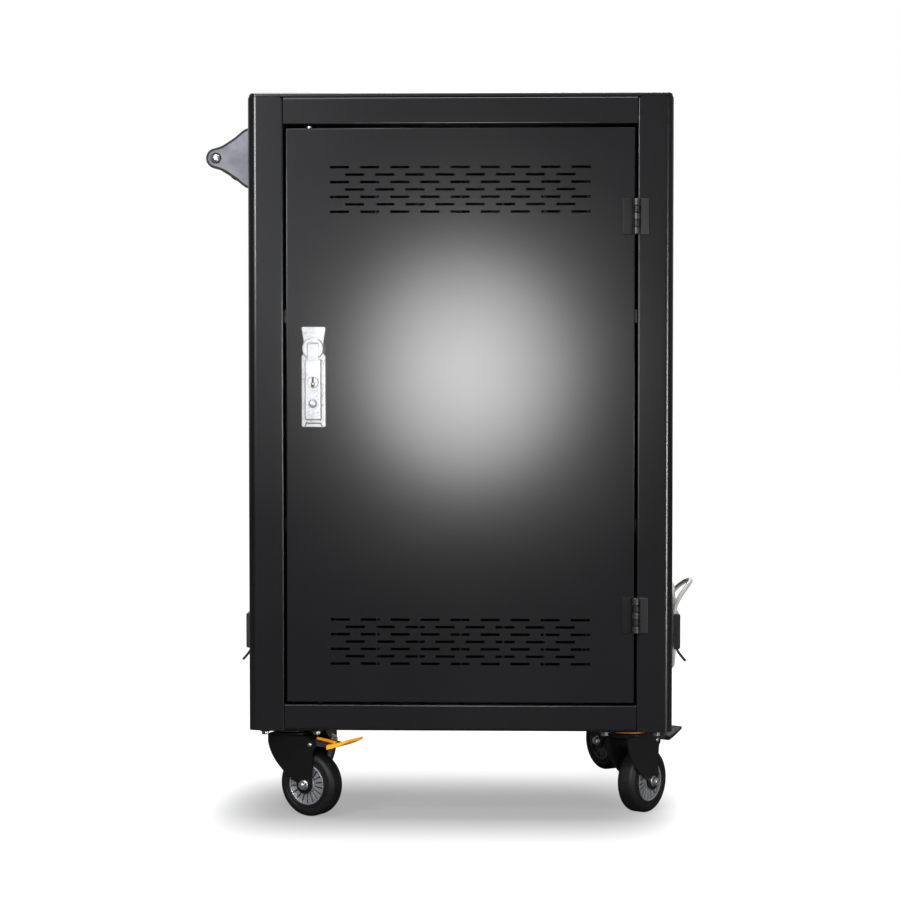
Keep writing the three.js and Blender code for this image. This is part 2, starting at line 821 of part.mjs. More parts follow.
// A moulded tray with upright fins between the device bays.
function dividerRack(floor) {
  const half = openingHalf - rackSideGap;
  const low = floor + gap;
  const top = low + rackTray;
  const front = shelfFront + finSetback;
  const rear = partitionFront - finSetback;
  const margin = rackTrayMargin;
  const tray = block([-half - margin, front - margin, low], [half + margin, rear + margin, top]);
  const finOutline = roundedOutline(front, top - overcut, rear, top + finHeight, [0, 0, 0, finCorner]);
  const pitch = (2 * half - finThickness) / bayCount;
  const fins = [];
  for (let fin = 0; fin <= bayCount; fin += 1) {
    const x = -half + fin * pitch;
    fins.push(prism(finOutline, 'x', x, x + finThickness, 2));
  }
  return join(tray, ...fins);
}

function powerStrip(floor) {
  const front = partitionFront + sheet + gap;
  const low = floor + stripRise;
  const corners = [0, stripCorner, stripCorner, 0];
  const outline = roundedOutline(front, low, front + stripDepth, low + stripHeight, corners);
  let strip = prism(outline, 'x', -stripLength / 2, stripLength / 2, 2);
  const pitch = stripLength / bayCount;
  const middle = low + stripHeight / 2;
  for (let outlet = 0; outlet < bayCount; outlet += 1) {
    const x = (outlet - (bayCount - 1) / 2) * pitch;
    const recess = block(
      [x - outletSize / 2, front + stripDepth - outletDepth, middle - outletSize / 2],
      [x + outletSize / 2, front + stripDepth + overcut, middle + outletSize / 2],
    );
    strip = cut(strip, recess);
  }
  return strip;
}

// Push handle: two winged brackets and a round bar between them

const handleZ = bodyBottom + handleRise;
const handleStart = -halfDepth + handleFrontInset;

function handleBracket(front) {
  const foot = -halfWidth - gap;
  const tip = -halfWidth - handleReach;
  const ear = [foot - handleFootEase, handleBaseHalf - handleFootEase / 2];
  const waist = [foot - handleReach / 2, handleTipRadius * handleWaistShare];
  const opening = handleTipOpening;
  const meet = [tip + handleTipRadius * Math.cos(opening), handleTipRadius * Math.sin(opening)];
  const outline = new THREE.Shape();
  outline.moveTo(foot, handleZ - handleBaseHalf);
  outline.lineTo(foot, handleZ + handleBaseHalf);
  outline.lineTo(ear[0], handleZ + ear[1]);
  outline.quadraticCurveTo(waist[0], handleZ + waist[1], meet[0], handleZ + meet[1]);
  outline.absarc(tip, handleZ, handleTipRadius, opening, 2 * Math.PI - opening);
  outline.quadraticCurveTo(waist[0], handleZ - waist[1], ear[0], handleZ - ear[1]);
  return easedPrism(outline, 'y', front, front + handleBracketThickness, handleBracketBevel, 1, 6);
}

function handleBar() {
  const start = handleStart + handleBracketThickness + gap;
  const end = handleStart + handleSpan - handleBracketThickness - gap;
  return rod('y', [-halfWidth - handleReach, handleZ], handleBarRadius, start, end, 20);
}

// Casters: plate fixed under the cabinet; fork, wheel and pedal drawn with the trail along +X

const plateTop = bodyBottom - gap;
const plateBottom = plateTop - plateThickness;
const raceTop = plateBottom - plateRaceHeight - gap;
const crownTop = raceTop - forkRaceHeight;
const crownBottom = crownTop - forkCrownThickness;
const legInner = wheelWidth / 2 + forkLegGap;
const legOuter = legInner + forkLeg;
const pedalPinZ = bodyBottom - pedalPinDrop;

function casterPlate() {
  const corners = Array(4).fill(plateCorner);
  const x = plateLength / 2;
  const y = plateWidth / 2;
  const plate = prism(roundedOutline(-x, -y, x, y, corners), 'z', plateBottom, plateTop, 1);
  const race = rod('z', [0, 0], plateRaceRadius, plateBottom - plateRaceHeight, plateBottom + weld, 14);
  const holeBottom = plateBottom - plateRaceHeight - overcut;
  const kingpinHole = bore('z', [0, 0], kingpinRadius + gap, holeBottom, plateTop + overcut, 8);
  return cut(join(plate, race), kingpinHole);
}

function casterFork() {
  const heel = pedalPinReach + pedalBarrel + forkHeelWall;
  const heelLow = pedalPinZ - pedalBarrel - forkHeelWall / 2;
  const eyeFront = casterTrail - forkEyeRadius;
  const eyeBack = casterTrail + forkEyeRadius;
  const side = new THREE.Shape();
  side.moveTo(-forkCrownRadius, crownTop);
  side.lineTo(-forkCrownRadius, crownBottom - forkSkirt);
  side.quadraticCurveTo(-forkCrownRadius * 0.75, wheelRadius + 2 * forkEyeRadius, eyeFront, wheelRadius);
  side.absarc(casterTrail, wheelRadius, forkEyeRadius, Math.PI, 2 * Math.PI);
  side.quadraticCurveTo(eyeBack, heelLow - forkSkirt, heel, heelLow);
  side.lineTo(heel, pedalPinZ + pedalBarrel);
  side.lineTo(forkCrownRadius, crownTop);
  const legs = [[-legOuter, -legInner], [legInner, legOuter]].map((span) => prism(side, 'y', ...span, 3));
  const across = legInner + weld;
  const crown = block([-forkCrownRadius, -across, crownBottom], [forkCrownRadius, across, crownTop]);
  const race = rod('z', [0, 0], forkRaceRadius, crownTop - weld, raceTop, 14);
  const kingpin = rod('z', [0, 0], kingpinRadius, raceTop - weld, plateTop - weld, 8);
  const nutReach = legOuter + axleNutHeight;
  const axle = rod('y', [casterTrail, wheelRadius], axleRadius, -across, across, 8);
  const nuts = [[-nutReach, -legOuter + weld], [legOuter - weld, nutReach]].map((span) => (
    rod('y', [casterTrail, wheelRadius], axleNutRadius, ...span, 6)
  ));
  return join(...legs, crown, race, kingpin, axle, ...nuts);
}

function pedalPin() {
  return rod('y', [pedalPinReach, pedalPinZ], pedalPinRadius, -legInner - weld, legInner + weld, 8);
}

function wheelHub() {
  const rim = tyreInner - gap;
  const inner = rim - hubRim;
  const hole = (axleRadius + gap) / Math.cos(Math.PI / hubRibs);
  const half = wheelWidth / 2;
  const edge = half - hubRimInset;
  const web = hubWeb / 2;
  const profile = [
    [hole, -half], [hubBoss, -half], [hubBoss, -web], [inner, -web], [inner, -edge], [rim, -edge],
    [rim, edge], [inner, edge], [inner, web], [hubBoss, web], [hubBoss, half], [hole, half], [hole, -half],
  ];
  const disc = solidOf(spun(profile, hubRibs).translate(casterTrail, 0, wheelRadius));
  const ribs = [];
  for (let rib = 0; rib < hubRibs; rib += 1) {
    const length = inner - hubBoss + 2 * weld;
    const bar = new THREE.BoxGeometry(length, wheelWidth - 2 * hubRibInset, hubRibThickness);
    bar.translate(hubBoss - weld + length / 2, 0, 0).rotateY((2 * Math.PI * (rib + 0.5)) / hubRibs);
    ribs.push(solidOf(bar.translate(casterTrail, 0, wheelRadius)));
  }
  return join(disc, ...ribs);
}

function wheelTyre() {
  const half = wheelWidth / 2;
  const wall = wheelRadius - tyreShoulder;
  const round = [wheelRadius - tyreShoulder * 0.35, half - tyreShoulder * 0.6];
  const tread = half - tyreShoulder * 1.6;
  const profile = [
    [tyreInner, -half], [wall, -half], [round[0], -round[1]], [wheelRadius, -tread],
    [wheelRadius, tread], round, [wall, half], [tyreInner, half], [tyreInner, -half],
  ];
  return solidOf(spun(profile, tyreSegments).translate(casterTrail, 0, wheelRadius));
}

function brakePedal() {
  const half = pedalThickness / 2;
  const start = pedalPinReach + pedalTreadStart;
  const tipZ = pedalPinZ + pedalRise;
  const neckEnd = start + 2 * pedalCurl;
  const neck = polygon([
    [pedalPinReach, pedalPinZ - half], [neckEnd, pedalPinZ - half], [neckEnd, pedalPinZ + half],
    [pedalPinReach, pedalPinZ + pedalBarrel],
  ]);
  const bend = (start + pedalReach) / 2;
  const tread = new THREE.Shape();
  tread.moveTo(start, pedalPinZ - half - pedalCurl);
  tread.quadraticCurveTo(bend, pedalPinZ, pedalReach, tipZ - half);
  tread.lineTo(pedalReach, tipZ + half);
  tread.quadraticCurveTo(bend, pedalPinZ + half + pedalCurl, start, pedalPinZ + half);
  const neckHalf = legInner - runningGap;
  const barrel = rod('y', [pedalPinReach, pedalPinZ], pedalBarrel, -neckHalf, neckHalf, 16);
  const pinHole = bore('y', [pedalPinReach, pedalPinZ], pedalPinRadius + gap, -legOuter, legOuter);
  const arm = prism(neck, 'y', -neckHalf, neckHalf);
  const foot = prism(tread, 'y', -pedalWidth / 2, pedalWidth / 2, 6);
  return cut(join(barrel, arm, foot), pinHole);
}

// Cord cleats and the mains cord

const cleatY = -halfDepth + cleatSetback;
const cleatZ = bodyBottom + cleatRise;
const windingZ = bodyBottom + windingRise;
const layerX = [0, 1].map((layer) => halfWidth + cordClear + cordRadius + layer * cordPitch);
const plateInner = layerX[1] + cordRadius + cordClear;
const plateOuter = plateInner + cleatPlateThickness;
const innerTurnTop = windingZ + windingHalfHeight - (turnsPerLayer - 0.5) * cordPitch - cordRadius;
const flangeInner = windingHalfWidth + tailTurn * cordPitch + cordRadius + cordClear;
const plateHalf = flangeInner + cleatFlangeThickness;

// A channel whose two flanges turn in towards the panel beside the turns, on a post, with a horn below.
function cordCleat() {
  const halfHeight = cleatPlateHeight / 2;
  const half = cleatPostHalfWidth;
  const low = cleatZ - halfHeight;
  const high = cleatZ + halfHeight;
  const inner = plateInner - cleatFlange;
  const corners = Array(4).fill(cleatPlateBevel);
  const outline = roundedOutline(cleatY - plateHalf, low, cleatY + plateHalf, high, corners);
  const channel = cut(
    easedPrism(outline, 'x', inner - cleatPlateBevel, plateOuter, cleatPlateBevel, 1, 1),
    block([inner - 2 * cleatPlateBevel, cleatY - plateHalf, low], [inner, cleatY + plateHalf, high]),
    block(
      [inner - overcut, cleatY - flangeInner, low - overcut],
      [plateInner, cleatY + flangeInner, high + overcut],
    ),
  );
  const postCorners = [cleatPostCorner, cleatPostCorner, half, half];
  const postOutline = roundedOutline(
    cleatY - half, low + halfHeight / 2, cleatY + half, innerTurnTop - cordClear - gap, postCorners,
  );
  const post = prism(postOutline, 'x', halfWidth + gap, plateInner + cleatPlateBevel, 3);
  const root = low + 2 * hornRadius;
  const middle = (plateInner + plateOuter) / 2;
  const tip = [plateOuter + hornReach, cleatY, low - hornDrop];
  const horn = tube([
    [middle, cleatY, root], [middle, cleatY, root - 4 * hornRadius],
    [plateOuter + hornReach * 0.45, cleatY, low - hornDrop * 0.7], tip,
  ], hornRadius, 6, 6);
  return join(channel, post, horn);
}

// One point of the wound cord's middle line, where turn counts whole turns from the bottom. The turns spiral
// inward against the panel, climb a layer in half a turn, and spiral outward again beside the first layer.
function windingPoint(turn) {
  const drawnIn = cordPitch * (turnsPerLayer - Math.abs(turn - turnsPerLayer));
  const climb = THREE.MathUtils.smoothstep(turn, turnsPerLayer - 0.25, turnsPerLayer + 0.25);
  const angle = 2 * Math.PI * turn;
  return [
    THREE.MathUtils.lerp(layerX[0], layerX[1], climb),
    cleatY - (windingHalfWidth - drawnIn) * Math.sin(angle),
    windingZ - (windingHalfHeight - drawnIn) * Math.cos(angle),
  ];
}

const lastTurn = 2 * turnsPerLayer + tailTurn;
const windingStart = windingPoint(0);
const windingEnd = windingPoint(lastTurn);
const straight = 2 * cordRadius;

function windingPoints() {
  const points = [[windingStart[0], windingStart[1] + straight, windingStart[2]]];
  for (let step = 0; step <= lastTurn * stepsPerTurn; step += 1) {
    points.push(windingPoint(step / stepsPerTurn));
  }
  points.push([windingEnd[0], windingEnd[1], windingEnd[2] + straight]);
  return points;
}

// The least space between two turns of the winding, measured on points of its middle line.
function leastSelfGap() {
  const count = Math.round(lastTurn * stepsPerTurn * 4);
  const points = [];
  for (let step = 0; step <= count; step += 1) {
    points.push(new THREE.Vector3(...windingPoint((lastTurn * step) / count)));
  }
  const apart = stepsPerTurn * 2;
  let least = Infinity;
  for (let i = 0; i < points.length; i += 1) {
    for (let j = i + apart; j < points.length; j += 1) {
      least = Math.min(least, points[i].distanceTo(points[j]));
    }
  }
  return least - 2 * cordRadius;
}

const glandY = cleatY + glandSetback;
const glandZ = windingZ - glandDrop;
const glandX = halfWidth + glandReach;

function cordGland() {
  const place = [glandY, glandZ];
  const outside = halfWidth + gap;
  const inside = halfWidth - sheet - gap;
  const flange = rod('x', place, glandFlangeRadius, outside, outside + glandFlange, 16);
  const stem = rod('x', place, glandRadius, inside - glandNutHeight - overcut, glandX, 12);
  const nut = rod('x', place, glandFlangeRadius, inside - glandNutHeight, inside, 6);
  const taper = new THREE.CylinderGeometry(glandRadius, cordRadius + glandLip, glandLength, 12);
  taper.translate(glandX, glandY - glandLength / 2, glandZ);
  const heel = solidOf(new THREE.SphereGeometry(glandRadius, 8, 4).translate(glandX, glandY, glandZ));
  return join(flange, stem, nut, solidOf(taper), heel);
}

// The lead leaves the gland level and eases up and inward to the first turn.
function leadPoints() {
  const start = glandY - glandLength - gap;
  const end = windingStart[1] + straight + gap;
  const steps = 8;
  const points = [];
  for (let step = 0; step <= steps; step += 1) {
    const ease = THREE.MathUtils.smoothstep(step, 1, steps - 1);
    points.push([
      THREE.MathUtils.lerp(glandX, windingStart[0], ease),
      THREE.MathUtils.lerp(start, end, step / steps),
      THREE.MathUtils.lerp(glandZ, windingStart[2], ease),
    ]);
  }
  return points;
}

// The free end curls up and out from the winding, over the cleat, and hangs down behind it to the plug.
function tailPoints() {
  const [x, y, z] = windingEnd;
  const start = z + straight + gap;
  const steps = 12;
  const points = [[x, y, start]];
  for (let step = 0; step <= steps; step += 1) {
    const angle = (Math.PI * step) / steps;
    points.push([
      x + tailBulge * Math.sin(angle) ** 2,
      y + (tailSpan * (1 - Math.cos(angle))) / 2,
      start + tailStraight + tailRise * Math.sin(angle),
    ]);
  }
  points.push([x, y + tailSpan, start]);
  return points;
}

function mainsPlug() {
  const [x, y, end] = tailPoints().at(-1);
  const top = end - gap;
  const shoulder = top - plugNeck;
  const bottom = shoulder - plugLength;
  const profile = [
    [0, bottom], [plugRadius, bottom], [plugRadius, shoulder - plugShoulder], [plugRadius * 0.7, shoulder],
    [cordRadius + 2 * glandLip, shoulder + overcut], [cordRadius + glandLip, top], [0, top],
  ];
  const body = solidOf(spun(profile, 12).rotateX(Math.PI / 2).translate(x, y, 0));
  const blades = [-1, 1].map((side) => {
    const centre = y + (side * bladeSpacing) / 2;
    const half = bladeThickness / 2;
    return block([x, centre - half, bottom - bladeLength], [x + bladeWidth, centre + half, bottom + weld]);
  });
  const earth = rod('z', [x - earthPinOffset, y], earthPinRadius, bottom - bladeLength, bottom + weld, 10);
  return join(body, ...blades, earth);
}

// The assembly

const rightPanel = sidePanel();
const rearFrameLeaves = hingeHeights.map((height) => turned(frameHingeLeaf(height, -fuse), aboutFace));
const glandHoleStart = halfWidth - sheet - overcut;
const glandHole = bore('x', [glandY, glandZ], glandRadius + gap, glandHoleStart, halfWidth + overcut);
piece('left_side_panel', blackPowderCoat, join(turned(rightPanel, mirrorX), ...rearFrameLeaves));
piece('right_side_panel', blackPowderCoat, cut(rightPanel, glandHole));
piece('top_cover', blackPowderCoat, topCover());
piece('base_panel', blackPowderCoat, basePanel());

const header = railChannel(openingTop, bodyTop);
const sill = sillChannel();
piece('front_header_rail', blackPowderCoat, header);
piece('front_sill_rail', blackPowderCoat, sill);
piece('rear_header_rail', blackPowderCoat, turned(header, aboutFace));
piece('rear_sill_rail', blackPowderCoat, turned(sill, aboutFace));

piece('partition_panel', blackPowderCoat, partition());
const tierNames = ['lower', 'middle', 'upper'];
tierFloors.forEach((floor, tier) => {
  const name = tierNames[tier] ?? `tier_${tier + 1}`;
  if (tier > 0) {
    piece(`shelf_${name}`, blackPowderCoat, shelf(floor));
  }
  piece(`divider_rack_${name}`, greyPlastic, dividerRack(floor));
  piece(`power_strip_${name}`, blackPlastic, powerStrip(floor));
});

piece('handle_bracket_front', blackPlastic, handleBracket(handleStart));
piece('handle_bracket_rear', blackPlastic, handleBracket(handleStart + handleSpan - handleBracketThickness));
piece('handle_bar', blackSteel, handleBar());

piece('front_door', blackPowderCoat, latchedDoor());
['upper', 'lower'].forEach((name, index) => {
  piece(`hinge_frame_leaf_${name}`, blackSteel, frameHingeLeaf(hingeHeights[index], gap));
  piece(`hinge_door_leaf_${name}`, blackSteel, doorHingeLeaf(hingeHeights[index], gap));
});
piece('lock_housing', satinChrome, lockHousing());
piece('lock_turret', satinChrome, lockTurret());
piece('lock_handle', satinChrome, swingHandle());
piece('lock_cylinder', zincSteel, keyCylinder());
piece('lock_button', satinChrome, pushButton());
piece('latch_cam', zincSteel, latchCam());
piece('latch_rod_upper', zincSteel, latchRod(1));
piece('latch_rod_lower', zincSteel, latchRod(-1));

piece('rear_door', blackPowderCoat, turned(rearDoor(), aboutFace));
piece('rear_lock', zincSteel, turned(rearLock(), aboutFace));

const casterX = halfWidth - casterInset;
const casterY = halfDepth - casterInset;
const casters = [
  { name: 'front_left', place: [-casterX, -casterY], trail: frontLeftTrail, pedal: orangePlastic },
  { name: 'front_right', place: [casterX, -casterY], trail: frontRightTrail, pedal: blackPlastic },
  { name: 'rear_left', place: [-casterX, casterY], trail: rearLeftTrail },
  { name: 'rear_right', place: [casterX, casterY], trail: rearRightTrail },
];
const plate = casterPlate();
const fork = casterFork();
const brakedFork = join(fork, pedalPin());
const hub = wheelHub();
const tyre = wheelTyre();
for (const { name, place, trail, pedal } of casters) {
  const fixed = new THREE.Group();
  fixed.position.set(...place, 0);
  cart.add(fixed);
  const swivel = new THREE.Group();
  swivel.rotation.z = THREE.MathUtils.degToRad(trail);
  fixed.add(swivel);
  piece(`caster_plate_${name}`, blackSteel, plate, fixed);
  piece(`caster_fork_${name}`, blackSteel, pedal ? brakedFork : fork, swivel);
  piece(`wheel_hub_${name}`, hubGrey, hub, swivel);
  piece(`wheel_tyre_${name}`, tyreRubber, tyre, swivel);
  if (pedal) {
    piece(`brake_pedal_${name}`, pedal, brakePedal(), swivel);
  }
}

const rightCleat = cordCleat();
piece('cord_cleat_left', blackPlastic, turned(rightCleat, mirrorX));
piece('cord_cleat_right', blackPlastic, rightCleat);
piece('cord_gland', blackPlastic, cordGland());
const windingSteps = Math.round(lastTurn * stepsPerTurn) + 4;
piece('power_cord_lead', greyCord, tube(leadPoints(), cordRadius, cordSteps / 2, cordSides));
piece('power_cord_winding', greyCord, tube(windingPoints(), cordRadius, windingSteps, windingSides));
piece('power_cord_tail', greyCord, tube(tailPoints(), cordRadius, cordSteps, cordSides));
piece('power_plug', greyPlastic, mainsPlug());
['cord_gland', 'power_cord_lead', 'power_cord_winding', 'power_cord_tail', 'power_plug'].forEach((name) => {
  cordNodes.add(name);
});
console.log(`least gap between the winding's turns: ${leastSelfGap().toFixed(2)} mm`);

// The origin moves under the middle of the cart, measured without the cord
const reach = new THREE.Box3();
cart.updateMatrixWorld(true);
cart.traverse((item) => {
  if (item.isMesh && !cordNodes.has(item.name)) {
    reach.expandByObject(item, true);
  }
});
const middle = reach.getCenter(new THREE.Vector3());
cart.position.set(-middle.x, -middle.y, -reach.min.z);

export default cart;
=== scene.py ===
import json
import math

import bmesh
import bpy
from mathutils import Matrix, Vector


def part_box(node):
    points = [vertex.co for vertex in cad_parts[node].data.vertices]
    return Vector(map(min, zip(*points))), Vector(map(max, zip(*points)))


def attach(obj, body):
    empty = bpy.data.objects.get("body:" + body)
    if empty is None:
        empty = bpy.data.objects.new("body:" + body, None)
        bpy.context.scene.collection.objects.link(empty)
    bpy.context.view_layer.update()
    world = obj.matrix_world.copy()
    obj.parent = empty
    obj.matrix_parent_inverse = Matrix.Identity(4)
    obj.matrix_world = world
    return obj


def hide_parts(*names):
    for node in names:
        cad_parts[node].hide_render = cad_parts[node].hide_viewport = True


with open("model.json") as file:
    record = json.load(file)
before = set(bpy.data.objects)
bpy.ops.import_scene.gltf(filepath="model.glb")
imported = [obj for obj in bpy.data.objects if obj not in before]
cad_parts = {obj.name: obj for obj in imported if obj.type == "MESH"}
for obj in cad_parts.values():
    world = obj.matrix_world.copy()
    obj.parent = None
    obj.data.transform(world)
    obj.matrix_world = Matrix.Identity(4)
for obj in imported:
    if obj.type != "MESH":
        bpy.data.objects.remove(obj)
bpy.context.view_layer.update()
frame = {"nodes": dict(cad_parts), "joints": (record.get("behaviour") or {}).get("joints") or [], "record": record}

# The cart's own middle, found from its side walls; drawings below are in millimetres about it
leftWall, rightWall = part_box("left_side_panel"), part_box("right_side_panel")
middleX = (leftWall[0][0] + rightWall[1][0]) / 2
middleY = (rightWall[0][1] + rightWall[1][1]) / 2
bodyOfNode = {node: body for body, nodes in frame["record"]["behaviour"]["bodies"].items() for node in nodes}
jointNamed = {joint["name"]: joint for joint in frame["joints"]}
slotOfNode = {part["node"]: part["material_slot"] for part in frame["record"]["subparts"]}


def mm(x, y, z):
    return Vector((x / 1000 + middleX, y / 1000 + middleY, z / 1000))


# Camera, matched to the photo
cameraSetup = {"place": (92, -3960, 707), "aim": (-15.3, -260, 566.5), "lens": 97.75}

bpy.ops.object.camera_add(location=mm(*cameraSetup["place"]))
camera = bpy.context.object
camera.name = "photo_camera"
sight = mm(*cameraSetup["aim"]) - camera.location
camera.rotation_euler = sight.to_track_quat("-Z", "Y").to_euler()
camera.data.lens = cameraSetup["lens"]
camera.data.sensor_width = 36
camera.data.clip_end = 40
bpy.context.scene.camera = camera
print("camera set")


# Selecting and shaping helpers
def deselectAll():
    if bpy.context.mode != "OBJECT":
        bpy.ops.object.mode_set(mode="OBJECT")
    bpy.ops.object.select_all(action="DESELECT")


def makeActive(piece):
    deselectAll()
    piece.select_set(True)
    bpy.context.view_layer.objects.active = piece


def startEdit(piece, kind="FACE"):
    makeActive(piece)
    bpy.ops.object.mode_set(mode="EDIT")
    bpy.ops.mesh.select_mode(type=kind)


def endEdit():
    bpy.ops.object.mode_set(mode="OBJECT")


def pickFaces(piece, test):
    mesh = bmesh.from_edit_mesh(piece.data)
    for face in mesh.faces:
        face.select_set(test(face.calc_center_median(), face.normal))
    bmesh.update_edit_mesh(piece.data)


def pickEdges(piece, test):
    mesh = bmesh.from_edit_mesh(piece.data)
    for face in mesh.faces:
        face.select_set(False)
    for edge in mesh.edges:
        edge.select_set(test(edge.verts[0].co, edge.verts[1].co))
    bmesh.update_edit_mesh(piece.data)


def applyModifier(piece, kind, **settings):
    makeActive(piece)
    modifier = piece.modifiers.new(kind.lower(), kind)
    for key, value in settings.items():
        setattr(modifier, key, value)
    bpy.ops.object.modifier_apply(modifier=modifier.name)


def easeEdges(piece, width, segments=2, angle=40):
    limit = {"limit_method": "ANGLE", "angle_limit": math.radians(angle)}
    applyModifier(piece, "BEVEL", width=width / 1000, segments=segments, **limit)


# Round shading that stops at sharp edges, on a mesh freed of empty faces
def smooth(piece, angle=40):
    makeActive(piece)
    bpy.ops.object.shade_smooth_by_angle(angle=math.radians(angle))
    startEdit(piece, "EDGE")
    bpy.ops.mesh.select_all(action="SELECT")
    bpy.ops.mesh.dissolve_degenerate(threshold=1e-6)
    bpy.ops.mesh.select_all(action="DESELECT")
    bpy.ops.mesh.edges_select_sharp(sharpness=math.radians(angle))
    bpy.ops.mesh.mark_sharp()
    endEdit()
    applyModifier(piece, "WEIGHTED_NORMAL", mode="FACE_AREA", weight=100, keep_sharp=True)


def cleanUp(piece):
    startEdit(piece)
    bpy.ops.mesh.select_all(action="SELECT")
    bpy.ops.mesh.remove_doubles(threshold=1e-6)
    bpy.ops.mesh.normals_make_consistent(inside=False)
    endEdit()


# A line of points drawn by extruding one vertex after another
def drawLine(points):
    deselectAll()
    bpy.ops.mesh.primitive_plane_add(size=0.01, location=(0, 0, 0))
    piece = bpy.context.object
    startEdit(piece, "VERT")
    bpy.ops.mesh.select_all(action="SELECT")
    bpy.ops.mesh.merge(type="CENTER")
    bpy.ops.transform.translate(value=Vector(points[0]))
    for before, after in zip(points, points[1:]):
        step = Vector(after) - Vector(before)
        bpy.ops.mesh.extrude_vertices_move(TRANSFORM_OT_translate={"value": step})
    return piece


# A closed outline pushed to a thickness
def cutPlate(outline, push):
    piece = drawLine(outline)
    bpy.ops.mesh.select_all(action="SELECT")
    bpy.ops.mesh.edge_face_add()
    bpy.ops.mesh.select_all(action="SELECT")
    bpy.ops.mesh.extrude_region_move(TRANSFORM_OT_translate={"value": Vector(push)})
    endEdit()
    cleanUp(piece)
    return piece


# A profile of (radius, height) in millimetres, turned about Z
def turnProfile(profile, steps=48):
    piece = drawLine([(radius / 1000, 0, height / 1000) for radius, height in profile])
    bpy.ops.mesh.select_all(action="SELECT")
    bpy.ops.mesh.spin(steps=steps, angle=2 * math.pi, center=(0, 0, 0), axis=(0, 0, 1))
    endEdit()
    cleanUp(piece)
    return piece


def moveInto(piece, matrix):
    makeActive(piece)
    piece.matrix_world = matrix
    bpy.ops.object.transform_apply(location=True, rotation=True, scale=True)


def copyOf(piece, matrix=None):
    twin = piece.copy()
    twin.data = piece.data.copy()
    bpy.context.scene.collection.objects.link(twin)
    if matrix is not None:
        moveInto(twin, matrix)
    return twin


def joinAll(pieces):
    deselectAll()
    for piece in pieces:
        piece.select_set(True)
    bpy.context.view_layer.objects.active = pieces[0]
    bpy.ops.object.join()
    return bpy.context.object


def discard(*pieces):
    for piece in pieces:
        bpy.data.objects.remove(piece)


# Turns a shape's Z axis to a direction and moves it there
def facing(direction, place):
    turn = Vector(direction).to_track_quat("Z", "Y").to_matrix().to_4x4()
    return Matrix.Translation(place) @ turn


def settle(piece, name, body, finish, slotName, *nodes):
    piece.name = name
    piece.data.name = name
    piece.data.materials.clear()
    piece.data.materials.append(finish)
    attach(piece, body)
    if nodes:
        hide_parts(*nodes)
    return piece


# Shader maths: a wrapped socket that can be added, multiplied and so on
class Wire:
    def __init__(self, finish, socket):
        self.finish = finish
        self.socket = socket

    def maths(self, operation, other, swapped=False):
        first, second = (other, self) if swapped else (self, other)
        return self.finish.node("Math", {"operation": operation}, {0: first, 1: second})

    def __add__(self, other):
        return self.maths("ADD", other)

    def __sub__(self, other):
        return self.maths("SUBTRACT", other)

    def __rsub__(self, other):
        return self.maths("SUBTRACT", other, True)

    def __mul__(self, other):
        return self.maths("MULTIPLY", other)

    __radd__ = __add__
    __rmul__ = __mul__


class Finish:
    def __init__(self, name, **sockets):
        self.material = bpy.data.materials.new(name)
        self.material.use_nodes = True
        self.tree = self.material.node_tree
        self.shader = self.tree.nodes["Principled BSDF"]
        for key, value in sockets.items():
            self.shader.inputs[key.replace("_", " ")].default_value = value

    def node(self, kind, settings=None, inputs=None, output=0):
        made = self.tree.nodes.new("ShaderNode" + kind)
        for key, value in (settings or {}).items():
            setattr(made, key, value)
        for key, value in (inputs or {}).items():
            if isinstance(value, Wire):
                self.tree.links.new(value.socket, made.inputs[key])
            else:
                made.inputs[key].default_value = value
        return None if output is None else Wire(self, made.outputs[output])

    def place(self, scale=(1, 1, 1)):
        where = self.node("TexCoord", None, None, "Object")
        return self.node("Mapping", None, {"Vector": where, "Scale": scale})

    def noise(self, scale, detail=3, roughness=0.5, stretch=(1, 1, 1)):
        inputs = {"Vector": self.place(stretch), "Scale": scale, "Detail": detail, "Roughness": roughness}
        return self.node("TexNoise", None, inputs, "Fac")

    def ramp(self, value, low, high):
        inputs = {"Value": value, "From Min": low, "From Max": high}
        return self.node("MapRange", {"interpolation_type": "SMOOTHSTEP"}, inputs)

    def tint(self, mask, first, second):
        inputs = {0: mask, 6: (*first, 1), 7: (*second, 1)}
        return self.node("Mix", {"data_type": "RGBA"}, inputs, 2)

    def feed(self, socket, value):
        self.tree.links.new(value.socket, self.shader.inputs[socket])

    def bump(self, height, strength, depth):
        inputs = {"Height": height, "Strength": strength, "Distance": depth}
        self.feed("Normal", self.node("Bump", None, inputs))


# Finishes
def powderCoat(name, dark, light, shine, peel, gloss=0.4):
    finish = Finish(name, Specular_IOR_Level=gloss)
    cloud = finish.noise(2.3, 4)
    speck = finish.noise(2600, 2, 0.6)
    finish.feed("Base Color", finish.tint(finish.ramp(cloud * 0.7 + speck * 0.3, 0.3, 0.7), dark, light))
    finish.feed("Roughness", shine + (cloud - 0.5) * 0.06 + (speck - 0.5) * 0.05)
    finish.bump(finish.noise(620, 3, 0.55), peel, 0.0004)
    return finish.material


def platedMetal(name, dark, light, shine, metal=1.0):
    finish = Finish(name, Metallic=metal)
    grain = finish.noise(900, 4, 0.6)
    patch = finish.noise(38, 3)
    finish.feed("Base Color", finish.tint(finish.ramp(patch * 0.6 + grain * 0.4, 0.3, 0.7), dark, light))
    finish.feed("Roughness", shine + (grain - 0.5) * 0.12 + (patch - 0.5) * 0.06)
    finish.bump(grain, 0.12, 0.0001)
    return finish.material


